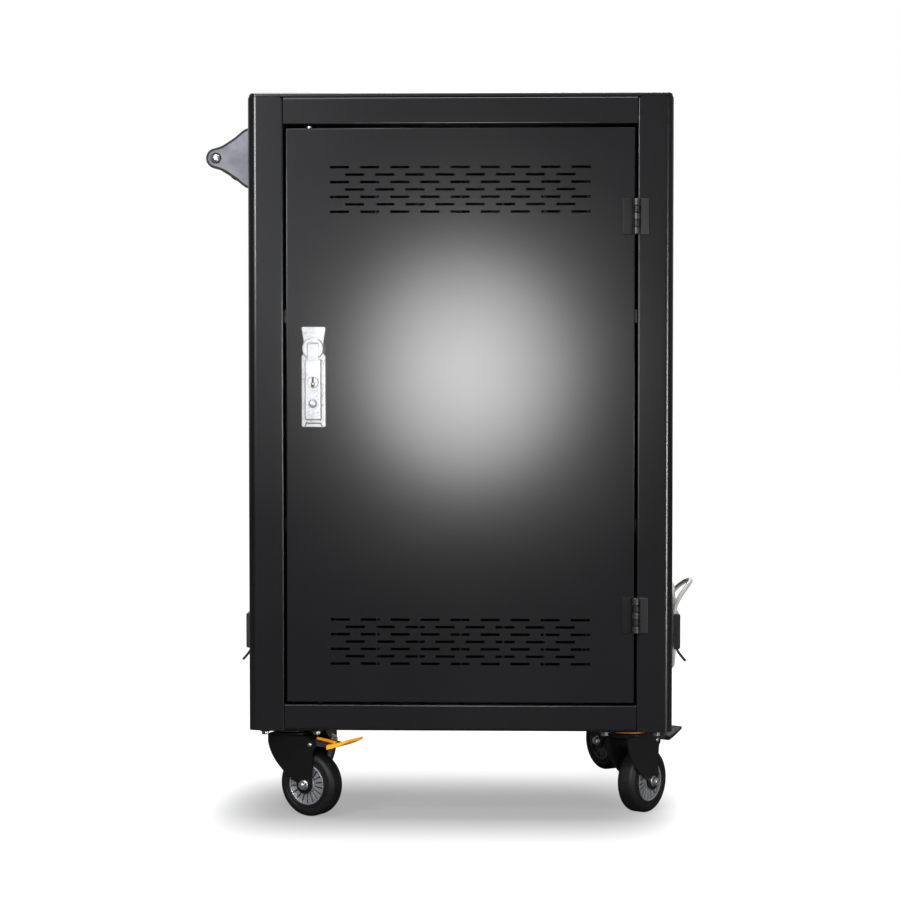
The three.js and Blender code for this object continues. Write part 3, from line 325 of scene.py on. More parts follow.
def mouldedPlastic(name, dark, light, shine, grainDepth=0.25):
    finish = Finish(name)
    grain = finish.noise(1900, 3, 0.6)
    patch = finish.noise(21, 4)
    finish.feed("Base Color", finish.tint(finish.ramp(patch * 0.75 + grain * 0.25, 0.3, 0.7), dark, light))
    finish.feed("Roughness", shine + (grain - 0.5) * 0.1 + (patch - 0.5) * 0.08)
    finish.bump(grain, grainDepth, 0.00015)
    return finish.material


def treadRubber(name, dark, dusty):
    finish = Finish(name, Specular_IOR_Level=0.25)
    scuff = finish.noise(160, 6, 0.7, (1, 1, 2.5))
    dust = finish.noise(26, 4)
    finish.feed("Base Color", finish.tint(finish.ramp(scuff * 0.5 + dust * 0.5, 0.42, 0.75), dark, dusty))
    finish.feed("Roughness", 0.5 + (scuff - 0.5) * 0.35 + (dust - 0.5) * 0.15)
    finish.bump(scuff, 0.3, 0.0003)
    return finish.material


powderBlack = powderCoat("powder_black", (0.004, 0.004, 0.0045), (0.0062, 0.0062, 0.0068), 0.22, 0.03)
# painted light: a lighter copy of the black steel finish, used for the hinges' frame leaves
hingeBlackPaintedLight = powderCoat("hinge_black_painted_light", (0.011, 0.011, 0.0115), (0.015, 0.015, 0.0155), 0.26, 0.05, 0.45)
enamelBlack = powderCoat("enamel_black", (0.003, 0.003, 0.0033), (0.006, 0.006, 0.0063), 0.3, 0.06, 0.26)
satinChrome = platedMetal("satin_chrome", (0.33, 0.333, 0.34), (0.38, 0.383, 0.39), 0.28, 0.5)
boltSteel = platedMetal("bolt_steel", (0.3, 0.295, 0.285), (0.42, 0.415, 0.4), 0.36)
zincPlate = platedMetal("zinc_plate", (0.5, 0.5, 0.51), (0.74, 0.74, 0.75), 0.34)
brassCore = platedMetal("brass_core", (0.55, 0.36, 0.12), (0.72, 0.5, 0.2), 0.35)
plasticBlack = mouldedPlastic("plastic_black", (0.011, 0.011, 0.012), (0.019, 0.019, 0.02), 0.48)
plasticGrey = mouldedPlastic("plastic_grey", (0.032, 0.033, 0.036), (0.05, 0.051, 0.055), 0.5)
plasticOrange = mouldedPlastic("plastic_orange", (0.82, 0.27, 0.008), (0.93, 0.36, 0.012), 0.36, 0.12)
ringOrange = mouldedPlastic("ring_orange", (0.52, 0.14, 0.012), (0.68, 0.2, 0.02), 0.45, 0.12)
bracketGrey = mouldedPlastic("bracket_grey", (0.06, 0.064, 0.076), (0.23, 0.237, 0.262), 0.3, 0.15)
hubPlastic = platedMetal("hub_plastic", (0.25, 0.257, 0.268), (0.36, 0.368, 0.38), 0.33, 0.55)
# painted shade: a dark copy of the hub finish for the rear casters, which stand in shadow
hubPaintedShade = mouldedPlastic("hub_painted_shade", (0.05, 0.05, 0.052), (0.08, 0.08, 0.082), 0.4, 0.1)
tyreRubber = treadRubber("tyre_rubber", (0.004, 0.0038, 0.0037), (0.009, 0.0086, 0.0082))
cordSheath = mouldedPlastic("cord_sheath", (0.42, 0.42, 0.41), (0.52, 0.52, 0.505), 0.42, 0.12)
print("finishes mixed")

finishOfSlot = {
    "black_powder_coat": powderBlack, "black_steel": enamelBlack, "satin_chrome": satinChrome,
    "zinc_steel": zincPlate, "black_plastic": plasticBlack, "grey_plastic": plasticGrey,
    "orange_plastic": plasticOrange, "hub_grey": hubPlastic, "tyre_rubber": tyreRubber,
    "grey_cord": cordSheath,
}

# The mains cord: gland, lead, turns on the cleat, free end
cordWay = {
    "radius": 3.75, "clear": 0.6, "pitch": 8.7, "layerTurns": 3, "halfHeight": 68, "halfWidth": 60,
    "middleY": -20, "middleZ": 278, "wallX": 322.5, "straight": 7.5, "gap": 0.3,
    "gland": (334.5, 170, 200), "glandLength": 38,
    "tailTurn": 0.25, "tailSpan": 154, "tailRise": 49, "tailBulge": 31, "tailStraight": 12,
}


def windingPoint(turn):
    way = cordWay
    inward = way["pitch"] * (way["layerTurns"] - abs(turn - way["layerTurns"]))
    climb = min(max((turn - way["layerTurns"] + 0.25) / 0.5, 0), 1)
    climb = climb * climb * (3 - 2 * climb)
    x = way["wallX"] + way["clear"] + way["radius"] + climb * way["pitch"]
    y = way["middleY"] - (way["halfWidth"] - inward) * math.sin(2 * math.pi * turn)
    z = way["middleZ"] - (way["halfHeight"] - inward) * math.cos(2 * math.pi * turn)
    return Vector((x, y, z))


def cordRoute():
    way = cordWay
    first, last = windingPoint(0), windingPoint(2 * way["layerTurns"] + way["tailTurn"])
    gland = Vector(way["gland"])
    start = gland.y - way["glandLength"] - way["gap"]
    end = first.y + way["straight"]
    route = []
    for step in range(9):
        ease = min(max((step - 1) / 6, 0), 1)
        ease = ease * ease * (3 - 2 * ease)
        flat = gland.lerp(first, ease)
        route.append(Vector((flat.x, start + (end - start) * step / 8, flat.z)))
    turns = 2 * way["layerTurns"] + way["tailTurn"]
    count = round(turns * 24)
    route += [windingPoint(turns * step / count) for step in range(count + 1)]
    rise = last.z + way["straight"] + way["gap"]
    route.append(Vector((last.x, last.y, rise)))
    for step in range(13):
        angle = math.pi * step / 12
        route.append(Vector((
            last.x + way["tailBulge"] * math.sin(angle) ** 2,
            last.y + way["tailSpan"] * (1 - math.cos(angle)) / 2,
            rise + way["tailStraight"] + way["tailRise"] * math.sin(angle),
        )))
    route.append(Vector((last.x, last.y + way["tailSpan"], rise)))
    return [mm(*point) for point in route]


# A finer line through the same points
def throughPoints(points, parts):
    line = []
    count = len(points)
    for index in range(count - 1):
        p0, p1, p2 = points[max(index - 1, 0)], points[index], points[index + 1]
        p3 = points[min(index + 2, count - 1)]
        for part in range(parts):
            t = part / parts
            line.append(0.5 * (2 * p1 + (p2 - p0) * t + (2 * p0 - 5 * p1 + 4 * p2 - p3) * t ** 2
                               + (3 * p1 - p0 - 3 * p2 + p3) * t ** 3))
    return line + [points[-1]]


cordLine = throughPoints(cordRoute(), 4)
cordLength = sum((b - a).length for a, b in zip(cordLine, cordLine[1:]))
cordCurve = bpy.data.curves.new("power_cord", "CURVE")
cordCurve.dimensions = "3D"
cordCurve.bevel_depth = cordWay["radius"] / 1000
cordCurve.bevel_resolution = 5
cordCurve.use_fill_caps = True
strand = cordCurve.splines.new("POLY")
strand.points.add(len(cordLine) - 1)
for point, place in zip(strand.points, cordLine):
    point.co = (*place, 1)
strand.use_smooth = True
powerCord = bpy.data.objects.new("power_cord", cordCurve)
bpy.context.scene.collection.objects.link(powerCord)
powerCord.data.materials.append(cordSheath)
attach(powerCord, "cabinet")
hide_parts("power_cord_lead", "power_cord_winding", "power_cord_tail")
print("cord laid, length", round(cordLength, 3))

plugShape = {"radius": 11, "length": 30, "neck": 12, "blade": (6.3, 1.6, 15.5), "spread": 6.3, "earth": 2.4}


def mainsPlug():
    top = cordLine[-1]
    shape = plugShape
    low = -shape["neck"] - shape["length"]
    collar = cordWay["radius"] + 1
    profile = [(0, -0.3), (collar, -0.3), (collar + 0.6, -4)]
    for rib in range(3):
        height = -4.5 - rib * 2.6
        groove, ridge = collar + 0.1, collar + 1.2 + rib * 0.3
        profile += [(groove, height), (groove, height - 0.9), (ridge, height - 1.2), (ridge, height - 2.4)]
    profile += [(8.2, -shape["neck"] - 1), (10.4, -shape["neck"] - 5), (shape["radius"], -shape["neck"] - 11)]
    profile += [(shape["radius"], low + 1.2), (shape["radius"] - 1.2, low), (0, low)]
    body = turnProfile(profile, 40)
    smooth(body, 35)
    moveInto(body, Matrix.Translation(top))
    return body


plugBody = settle(mainsPlug(), "power_plug_body", "cabinet", plasticGrey, "grey_plastic", "power_plug")


def plugPins():
    top = cordLine[-1]
    low = -plugShape["neck"] - plugShape["length"]
    pins = []
    for side in (-1, 1):
        deselectAll()
        bpy.ops.mesh.primitive_cube_add(size=1)
        blade = bpy.context.object
        blade.scale = [length / 1000 for length in plugShape["blade"]]
        blade.location = (plugShape["blade"][0] / 2000, side * plugShape["spread"] / 1000, (low - 7) / 1000)
        bpy.ops.object.transform_apply(location=True, rotation=True, scale=True)
        easeEdges(blade, 0.4, 2)
        pins.append(blade)
    r = plugShape["earth"]
    earth = turnProfile([(0, 0.5), (r, 0.5), (r, -13.4), (r - 0.8, -15), (0, -15)], 20)
    moveInto(earth, Matrix.Translation((-0.005, 0, low / 1000)))
    pins.append(earth)
    joined = joinAll(pins)
    smooth(joined)
    moveInto(joined, Matrix.Translation(top))
    return joined


plugMetal = settle(plugPins(), "power_plug_pins", "cabinet", zincPlate, "zinc_steel")

glandShape = {"root": 8, "ribs": 7, "lip": 1.0}


# Strain relief: a flange on the wall, a ball heel, and a ribbed taper along the cord
def cordGland():
    place = mm(*cordWay["gland"])
    taper = [(0, 1), (glandShape["root"] + 0.6, 0)]
    ribs, length, root = glandShape["ribs"], cordWay["glandLength"], glandShape["root"]
    tip = cordWay["radius"] + glandShape["lip"]
    for rib in range(ribs):
        for share, dip in ((0.12, 0.7), (0.42, 0.7), (0.5, 0), (0.95, 0)):
            along = (rib + share) / ribs
            taper.append((root + (tip - root) * along - dip, length * along))
    taper += [(tip, length), (0, length)]
    sleeve = turnProfile(taper, 32)
    moveInto(sleeve, facing((0, -1, 0), place))
    wall = cordWay["wallX"] - cordWay["gland"][0]
    stem = turnProfile([
        (0, wall - 9), (13, wall - 9), (13, wall - 2), (8, wall - 1.8), (8, wall + 0.3), (12, wall + 0.3),
        (13, wall + 1.3), (13, wall + 3.4), (11.8, wall + 4.3), (8.6, wall + 4.3), (8.6, 0),
        (7.4, 4.2), (4.4, 7.4), (0, 8.6),
    ], 36)
    moveInto(stem, facing((1, 0, 0), place))
    whole = joinAll([sleeve, stem])
    smooth(whole, 35)
    return whole


glandPiece = settle(cordGland(), "cord_gland_boot", "cabinet", plasticBlack, "black_plastic", "cord_gland")
print("plug and gland made")


# CAD pieces whose edges are eased and shaded round
def nodeCopy(node):
    source = frame["nodes"][node]
    piece = source.copy()
    piece.data = source.data.copy()
    piece.parent = None
    for key in [key for key in piece.keys() if key.startswith("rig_")]:
        del piece[key]
    bpy.context.scene.collection.objects.link(piece)
    startEdit(piece)
    bpy.ops.mesh.select_all(action="SELECT")
    bpy.ops.mesh.remove_doubles(threshold=1e-6)
    bpy.ops.mesh.dissolve_limited(angle_limit=math.radians(0.4))
    endEdit()
    return piece


def easedCopy(node, width=0, angle=40, segments=2, finish=None):
    piece = nodeCopy(node)
    if width:
        easeEdges(piece, width, segments, angle)
    smooth(piece, angle)
    slotName = slotOfNode[node]
    finish = finish or finishOfSlot[slotName]
    return settle(piece, node + "_eased", bodyOfNode[node], finish, slotName, node)


easedEdges = {
    "left_side_panel": 0, "right_side_panel": 0, "top_cover": 0, "front_header_rail": 0, "front_sill_rail": 0,
    "rear_header_rail": 0, "rear_sill_rail": 0, "front_door": 0, "rear_door": 0, "handle_bar": 0,
    "latch_cam": 0.3, "rear_lock": 0.3, "latch_rod_upper": 0.3,
    "cord_cleat_left": 0.5, "cord_cleat_right": 0.5,
    "brake_pedal_front_right": 0.6,
}
for node, width in easedEdges.items():
    easedCopy(node, width)
easedCopy("latch_rod_lower", 0.3, finish=plasticBlack)
for node in [name for name in frame["nodes"] if name.startswith("caster_plate")]:
    easedCopy(node, 0.6)
for node, piece in frame["nodes"].items():
    for index in range(max(1, len(piece.material_slots))):
        if piece.material_slots:
            piece.material_slots[index].material = finishOfSlot[slotOfNode[node]]
        else:
            piece.data.materials.append(finishOfSlot[slotOfNode[node]])
print("eased pieces made")

# Swing-handle lock, drawn about the middle of its collar
lockShape = {
    "collar": 16.4, "plateHalf": 18.4, "headHalf": 18.5, "waistHalf": 15.4,
    "top": 33, "waist": 11, "foot": -119,
    "notch": [(14.6, -2), (11.8, 7.2)], "lip": [(12.6, 0.2), (10.2, 5.4)], "notchShade": [(14.0, 0.4), (11.5, 7.0)],
    "handleBase": 13.0, "handleFlat": 11.6, "handleTop": -16.9, "handleEnd": -108.5,
    "tongueHalf": 8.0, "tongueTop": 7.4, "buttonDrop": -83, "buttonRadius": 6.0,
    "keyDrop": -51, "keyRadius": 8.6,
    "keyway": [(1.2, -7.8), (2.7, -5.6), (2.7, -1), (1.5, 0), (1.5, 7.8)],
    "shadow": [(1.1, -7.7), (2.6, -5.5), (2.6, -1.1), (1.4, 0), (1.4, 7.7)],
    "brass": [(0.9, -3.4), (1.2, -2.4), (0.8, -0.6)],
}
turnJoint = jointNamed["lock_turn"]["pos_m"]
lockSpot = Vector((turnJoint[0], 0, turnJoint[2]))
plateBack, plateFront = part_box("lock_housing")[1][1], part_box("lock_housing")[0][1]
handleFront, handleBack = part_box("lock_handle")[0][1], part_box("lock_handle")[1][1]


def lockPoint(across, up, y):
    return (lockSpot.x + across / 1000, y, lockSpot.z + up / 1000)


# A flat outline on the lock between two depths, mirrored from its right half
def lockPlate(half, back, front):
    whole = half + [(-across, up) for across, up in reversed(half)]
    return cutPlate([lockPoint(across, up, back) for across, up in whole], (0, front - back, 0))


def raised(half, height):
    return [(across, up + height) for across, up in half]


def cutAway(piece, tool):
    applyModifier(piece, "BOOLEAN", operation="DIFFERENCE", object=tool, solver="EXACT")
    discard(tool)


def lockHousing():
    s = lockShape
    wide, head, narrow = s["plateHalf"], s["headHalf"], s["waistHalf"]
    foot, waist, top = s["foot"], s["waist"], s["top"]
    half = [(wide - 2.4, foot), (wide - 0.7, foot + 0.7), (wide, foot + 2.4)]
    half += [(wide, -12), (wide - 0.5, -10.6), (narrow, -7), (narrow, waist), (head - 1.6, waist + 9)]
    half += [(head, top - 2.6), (head - 0.7, top - 0.7), (head - 2.6, top)]
    piece = lockPlate(half, plateBack, plateFront)
    startEdit(piece, "EDGE")
    pickEdges(piece, lambda a, b: abs(a.y - plateFront) < 1e-5 and abs(b.y - plateFront) < 1e-5)
    bpy.ops.mesh.bevel(offset=0.0017, segments=3, affect="EDGES")
    endEdit()
    cutAway(piece, lockPlate(raised(s["notch"], foot), plateFront - 0.002, plateFront + 0.0024))
    lip = lockPlate(raised(s["lip"], foot), plateFront + 0.003, plateFront + 0.0004)
    easeEdges(lip, 0.5, 2)
    whole = joinAll([piece, lip])
    smooth(whole, 35)
    return whole


def lockCollar():
    s = lockShape
    front = (plateFront - handleFront) * 1000 + 1
    edge = s["collar"]
    profile = [(0, 0.3), (edge, 0.3), (edge, front - 1.9), (edge - 0.5, front - 0.8)]
    piece = turnProfile(profile + [(edge - 1.5, front), (0, front)], 64)
    moveInto(piece, facing((0, -1, 0), (lockSpot.x, plateFront, lockSpot.z)))
    wide, top = s["tongueHalf"] + 0.45, s["tongueTop"] + 1.8
    slot = lockPlate([(wide, -20), (wide, top)], plateFront - 0.0011, handleFront - 0.004)
    cutAway(piece, slot)
    smooth(piece, 35)
    return piece


def lockHandle():
    s = lockShape
    base, flat, end = s["handleBase"], s["handleFlat"], s["handleEnd"]
    bar = lockPlate([(base - 2, end), (base, end + 2), (base, s["handleTop"])], handleBack, handleFront)
    startEdit(bar)
    pickFaces(bar, lambda centre, normal: normal.y < -0.9)
    pivot = lockPoint(0, s["handleTop"], handleFront)
    bpy.ops.transform.resize(value=(flat / base, 1, 0.985), center_override=pivot)
    endEdit()
    easeEdges(bar, 1.1, 3, 25)
    holes = ((s["keyDrop"], s["keyRadius"] + 0.35), (s["buttonDrop"], s["buttonRadius"] + 0.5))
    for drop, radius in holes:
        bore = turnProfile([(0, -2), (radius, -2), (radius, 7), (0, 7)], 40)
        moveInto(bore, facing((0, 1, 0), lockPoint(0, drop, handleFront)))
        cutAway(bar, bore)
    half = [(s["tongueHalf"], s["handleTop"] - 1), (s["tongueHalf"], s["tongueTop"])]
    tongue = lockPlate(half, handleBack - 0.002, handleFront - 0.0004)
    easeEdges(tongue, 0.5, 2)
    whole = joinAll([bar, tongue])
    smooth(whole, 30)
    return whole


# Key cylinder face with its keyway
def keyFace():
    s = lockShape
    r, drop = s["keyRadius"], s["keyDrop"]
    piece = turnProfile([(0, -6), (r, -6), (r, 0.2), (r - 0.5, 0.8), (0, 0.8)], 40)
    moveInto(piece, facing((0, -1, 0), lockPoint(0, drop, handleFront)))
    cutAway(piece, lockPlate(raised(s["keyway"], drop), handleFront + 0.005, handleFront - 0.004))
    smooth(piece, 35)
    return piece


# Small pieces set in the lock: the brass that glints in the keyway, and black plates that paint the shade at the
# back of the keyway and in the notch at the housing's foot
def lockInsert(half, back, front, segments=1):
    piece = lockPlate(half, back, front)
    easeEdges(piece, 0.2, segments)
    smooth(piece, 35)
    return piece


def buttonHead():
    r = lockShape["buttonRadius"]
    profile = [(0, -4), (r, -4), (r, 1.2), (r - 0.5, 2.1), (r - 1.6, 2.7), (r - 3.4, 3.1), (0, 3.2)]
    piece = turnProfile(profile, 40)
    moveInto(piece, facing((0, -1, 0), lockPoint(0, lockShape["buttonDrop"], handleFront)))
    smooth(piece, 45)
    return piece


settle(lockHousing(), "lock_housing_plate", "front_door", satinChrome, "satin_chrome", "lock_housing")
# painted shade: a black plate in the notch at the housing's foot, where there is only shade
notchPaintedShade = lockInsert(raised(lockShape["notchShade"], lockShape["foot"]), plateFront + 0.0023, plateFront + 0.0014)
settle(notchPaintedShade, "lock_notch_painted_shade", "front_door", plasticBlack, "black_plastic")
settle(lockCollar(), "lock_collar", "lock_turret", satinChrome, "satin_chrome", "lock_turret")
settle(lockHandle(), "lock_swing_handle", "lock_handle", satinChrome, "satin_chrome", "lock_handle")
settle(keyFace(), "lock_key_face", "lock_cylinder", satinChrome, "zinc_steel", "lock_cylinder")
brass, shadow = (raised(lockShape[key], lockShape["keyDrop"]) for key in ("brass", "shadow"))
keyPlug = lockInsert(brass, handleFront + 0.0048, handleFront + 0.0006, 2)
settle(keyPlug, "lock_key_plug", "lock_cylinder", brassCore, "zinc_steel")
# painted shade: a black plate at the back of the keyway, where there is only shade
keyShadow = lockInsert(shadow, handleFront + 0.0049, handleFront + 0.0014)
settle(keyShadow, "lock_keyway_painted_shade", "lock_cylinder", plasticBlack, "black_plastic")
settle(buttonHead(), "lock_button_head", "lock_button", satinChrome, "satin_chrome", "lock_button")
print("lock made")

# Butt hinges with five knuckles: three on the frame leaf, two on the door leaf
hingeShape = {"height": 54, "knuckles": 5, "radius": 5.5, "space": 0.35, "leaf": 2.0, "ease": 1.5}


def knuckle(place, low, high):
    r = hingeShape["radius"]
    profile = [(0, low), (r - 0.5, low), (r, low + 0.5), (r, high - 0.5), (r - 0.5, high), (0, high)]
    piece = turnProfile(profile, 36)
    moveInto(piece, Matrix.Translation(place))
    return piece


def hingeSheet(xs, zs, back):
    x0, x1, z0, z1 = min(xs), max(xs), zs[0], zs[1]
    outline = [(x0, back, z0), (x1, back, z0), (x1, back, z1), (x0, back, z1)]
    return cutPlate(outline, (0, -hingeShape["leaf"] / 1000, 0))


def hingeLeaf(node, first):
    s = hingeShape
    (lowX, lowY, lowZ), (highX, highY, highZ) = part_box(node)
    hinge = jointNamed["front_door_hinge"]["pos_m"]
    place = Vector((hinge[0], hinge[1], lowZ))
    leftward = first == 1
    inner = hinge[0] + (-1 if leftward else 1) * (s["radius"] + 0.5) / 1000
    outer = lowX if leftward else highX
    leaf = hingeSheet((inner, outer), (lowZ, highZ), highY)
    easeEdges(leaf, s["ease"], 3)
    pieces = [leaf]
    length = s["height"] / s["knuckles"]
    for number in range(first, s["knuckles"], 2):
        low, high = number * length + s["space"], (number + 1) * length - s["space"]
        pieces.append(knuckle(place, low, high))
        pieces.append(hingeSheet((inner, hinge[0]), (lowZ + low / 1000, lowZ + high / 1000), highY))
    whole = joinAll(pieces)
    smooth(whole, 35)
    return whole


for level in ("upper", "lower"):
    for kind, first in (("frame", 0), ("door", 1)):
        node = f"hinge_{kind}_leaf_{level}"
        # painted light and shade: frame leaves take the lighter black, door leaves the darker one
        finish = hingeBlackPaintedLight if kind == "frame" else enamelBlack
        settle(hingeLeaf(node, first), f"hinge_{kind}_{level}", bodyOfNode[node], finish, "black_steel", node)
print("hinges made")

# Brackets of the push handle: a black winged plate with a grey inlay on its outer face
bracketShape = {
    "middle": (-382, 1016), "tip": {"front": 15.6, "rear": 13.4}, "rim": 3.6, "ease": 0.7,
    "inlay": 0.7, "inlayEase": 0.6,
    "wing": [(4, 17.2), (10, 19.6), (17.9, 24.4), (30.3, 32.8), (40.3, 41.4), (46.5, 45.3), (52, 46.4),
             (59.5, 46.6)],
}


def bracketPlate(node, tip):
    middleX, middleZ = bracketShape["middle"]
    back, front = (corner[1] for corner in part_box(node))
    wing = throughPoints([Vector(point) for point in bracketShape["wing"]], 3)
    outline = [tuple(point) for point in reversed(wing)]
    for part in range(21):
        angle = math.radians(105 + part * 7.5)
        outline.append((tip * math.cos(angle), tip * math.sin(angle)))
    outline += [(across, -up) for across, up in wing]
    points = [mm(middleX + across, back * 1000, middleZ + up) for across, up in outline]
    return cutPlate(points, (0, front - back, 0))


def bracketInlay(piece, outward):
    startEdit(piece)
    pickFaces(piece, lambda centre, normal: normal.y * outward > 0.9)
    bpy.ops.mesh.inset(thickness=bracketShape["rim"] / 1000, depth=0)
    bpy.ops.mesh.select_all(action="INVERT")
    bpy.ops.mesh.delete(type="FACE")
    bpy.ops.mesh.select_all(action="SELECT")
    push = Vector((0, outward * bracketShape["inlay"] / 1000, 0))
    bpy.ops.mesh.extrude_region_move(TRANSFORM_OT_translate={"value": push})
    endEdit()
    cleanUp(piece)
    easeEdges(piece, bracketShape["inlayEase"], 3, 50)
    smooth(piece, 40)
    return piece


for side, outward in (("front", -1), ("rear", 1)):
    node = "handle_bracket_" + side
    plate = bracketPlate(node, bracketShape["tip"][side])
    inlay = bracketInlay(copyOf(plate), outward)
    easeEdges(plate, bracketShape["ease"], 3, 40)
    smooth(plate, 40)
    settle(plate, "handle_plate_" + side, "cabinet", enamelBlack, "black_plastic", node)
    settle(inlay, "handle_inlay_" + side, "cabinet", bracketGrey, slotOfNode[node])
print("brackets made")

# Casters
casterShape = {
    "wheel": 50, "width": 32, "bead": 32, "crownRound": 9, "boss": 13, "rim": 2.2, "recess": 11,
    "ribs": 18, "ribWidth": 3.4, "ribFlare": 2.3,
    "trail": 35, "eye": 14, "crown": 33, "legOut": 21, "sheet": 3, "crownTop": 126.2,
    "heel": 55.5, "heelTop": 119.5, "heelLow": 105, "pin": 46, "pinRise": 113,
}


def quadratic(p0, p1, p2, parts):
    points = []
    for part in range(parts + 1):
        t = part / parts
        weights = (1 - t) ** 2, 2 * t * (1 - t), t * t
        points.append(tuple(sum(w * v for w, v in zip(weights, values)) for values in zip(p0, p1, p2)))
    return points


def tyre():
    s = casterShape
    half, rnd, out, bead = s["width"] / 2, s["crownRound"], s["wheel"], s["bead"]
    profile = [(bead, -half + 1.2), (bead + 1.2, -half), (bead + 3.4, -half), (bead + 4.0, -half + 0.8)]
    profile += [(bead + 5.0, -half + 0.8), (bead + 5.8, -half + 0.1)]
    for part in range(9):
        angle = math.radians(part * 85 / 8)
        profile.append((out - rnd * (1 - math.sin(angle)), -half + rnd * (1 - math.cos(angle))))
    profile += [(out, -3.5)]
    profile += [(radius, -height) for radius, height in reversed(profile)]
    profile.append(profile[0])
    piece = turnProfile(profile, 72)
    smooth(piece, 35)
    return piece


def hub():
    s = casterShape
    half, rim, web = s["width"] / 2 - 0.8, s["bead"] - 0.3, s["width"] / 2 - s["recess"]
    boss, lip = s["boss"], rim - s["rim"]
    side = [(6.4, half + 0.6), (boss - 1, half + 0.6), (boss, half - 0.4), (boss + 1.2, web + 0.8)]
    side += [(boss + 2.4, web), (lip - 2, web), (lip - 0.6, web + 1.4)]
    side += [(lip, half - 0.6), (lip + 0.6, half), (rim - 0.7, half), (rim, half - 0.7)]
    profile = side + [(radius, -height) for radius, height in reversed(side)] + [side[0]]
    disc = turnProfile(profile, 96)
    inner, outer = boss - 0.5, lip + 0.8
    deselectAll()
    bpy.ops.mesh.primitive_cube_add(size=1)
    rib = bpy.context.object
    rib.scale = ((outer - inner) / 1000, s["ribWidth"] / 1000, 2 * (half - 3.5) / 1000)
    rib.location = ((outer + inner) / 2000, 0, 0)
    bpy.ops.object.transform_apply(location=True, rotation=True, scale=True)
    startEdit(rib)
    pickFaces(rib, lambda centre, normal: normal.x > 0.9)
    bpy.ops.transform.resize(value=(1, s["ribFlare"], 1))
    endEdit()
    easeEdges(rib, 0.7, 2)
    pieces = [disc]
    for number in range(s["ribs"]):
        pieces.append(copyOf(rib, Matrix.Rotation(2 * math.pi * number / s["ribs"], 4, "Z")))
    discard(rib)
    whole = joinAll(pieces)
    smooth(whole, 35)
    return whole


# Stamped fork: a bent sheet with two legs, made from its side view
def fork():
    s = casterShape
    top, front, heel = s["crownTop"], -s["crown"], s["heel"]
    trail, eye, wheel = s["trail"], s["eye"], s["wheel"]
    outline = [(front + 3, top), (front, top - 3), (front, top - 14)]
    outline += quadratic((front, top - 14), (front * 0.8, 79), (trail - eye, wheel + 2), 12)[1:]
    for part in range(13):
        angle = math.pi * (1 + part / 12)
        outline.append((trail + eye * math.cos(angle), wheel + eye * math.sin(angle)))
    outline += quadratic((trail + eye, wheel), (trail + eye, 96), (heel - 3, s["heelLow"]), 12)[1:]
    outline += [(heel, s["heelLow"] + 3), (heel, s["heelTop"] - 3), (heel - 3, s["heelTop"])]
    outline += [(s["crown"] + 8, top - 2), (s["crown"], top)]
    width = s["legOut"] / 1000
    points = [(x / 1000, -width, z / 1000) for x, z in outline]
    shell = cutPlate(points, (0, 2 * width, 0))
    startEdit(shell)
    roof = top / 1000

    def belowRoof(centre, normal):
        return abs(normal.y) < 0.5 and not (normal.z > 0.9 and centre.z > roof - 0.001)

    pickFaces(shell, belowRoof)
    bpy.ops.mesh.delete(type="FACE")
    pickEdges(shell, lambda a, b: max(abs(a.z - roof), abs(b.z - roof)) < 1e-5 and a.y * b.y > 0)
    bpy.ops.mesh.bevel(offset=0.005, segments=4, affect="EDGES")
    endEdit()
    applyModifier(shell, "SOLIDIFY", thickness=s["sheet"] / 1000, offset=-1)
    easeEdges(shell, 0.5, 2, 50)
    smooth(shell, 40)
    return shell


# Hardware, in millimetres; bolts sit about the swivel, and rings turn on it
boltShape = {"radius": 6.2, "height": 5.0, "washer": 8.4}
boltPlace = {"across": 39.5, "along": 33, "sink": 3.5}
nutShape = {"radius": 6.6, "height": 5.6, "washer": 7.8, "shank": 3.6}
rivetShape = {"radius": 3.5, "height": 2.0}
ringShape = {"inner": 26.5, "outer": 32.5, "thick": 2.6, "rise": 130.9}


def hexHead(radius, height, washer, shank=0):
    profile = [(0, 0), (washer, 0), (washer, 0.8), (washer - 0.5, 1.3), (0, 1.3)]
    disc = turnProfile(profile, 36)
    deselectAll()
    bpy.ops.mesh.primitive_cylinder_add(vertices=6, radius=radius / 1000, depth=height / 1000)
    head = bpy.context.object
    head.location = (0, 0, (1.2 + height / 2) / 1000)
    bpy.ops.object.transform_apply(location=True, rotation=True, scale=True)
    easeEdges(head, 0.6, 2)
    pieces = [disc, head]
    if shank:
        end = height + 3.2
        profile = [(0, 0), (shank, 0), (shank, height + 2.4), (shank - 0.8, end), (0, end)]
        pieces.append(turnProfile(profile, 24))
    whole = joinAll(pieces)
    smooth(whole, 35)
    return whole


def domeHead(radius, height):
    profile = [(0, 0), (radius, 0), (radius, 0.3)]
    for part in range(1, 7):
        angle = math.pi / 2 * part / 6
        profile.append((radius * math.cos(angle), 0.3 + height * math.sin(angle)))
    piece = turnProfile(profile[:-1] + [(0, 0.3 + height)], 28)
    smooth(piece, 50)
    return piece


def swivelRace():
    race = turnProfile([
        (7, 0), (29, 0), (30, 0.8), (30, 2.2), (29, 3.4), (24, 4.2), (12, 4.2), (10.5, 3.4), (7, 3.4), (7, 0),
    ], 56)
    moveInto(race, Matrix.Translation((0, 0, (casterShape["crownTop"] - 0.4) / 1000)))
    smooth(race, 35)
    return race


def dustRing():
    inner, outer, thick = ringShape["inner"], ringShape["outer"], ringShape["thick"]
    profile = [(inner, 0), (outer - 1, 0), (outer, 0.8), (outer, thick - 0.6), (outer - 1, thick)]
    ring = turnProfile(profile + [(inner, thick), (inner, 0)], 64)
    smooth(ring, 35)
    return ring


# Brake pedal in two colours: orange tread and barrel, black arm
pedalShape = {"start": 46, "tread": 78, "barrel": 3.4, "rise": 119.4, "fall": -4}


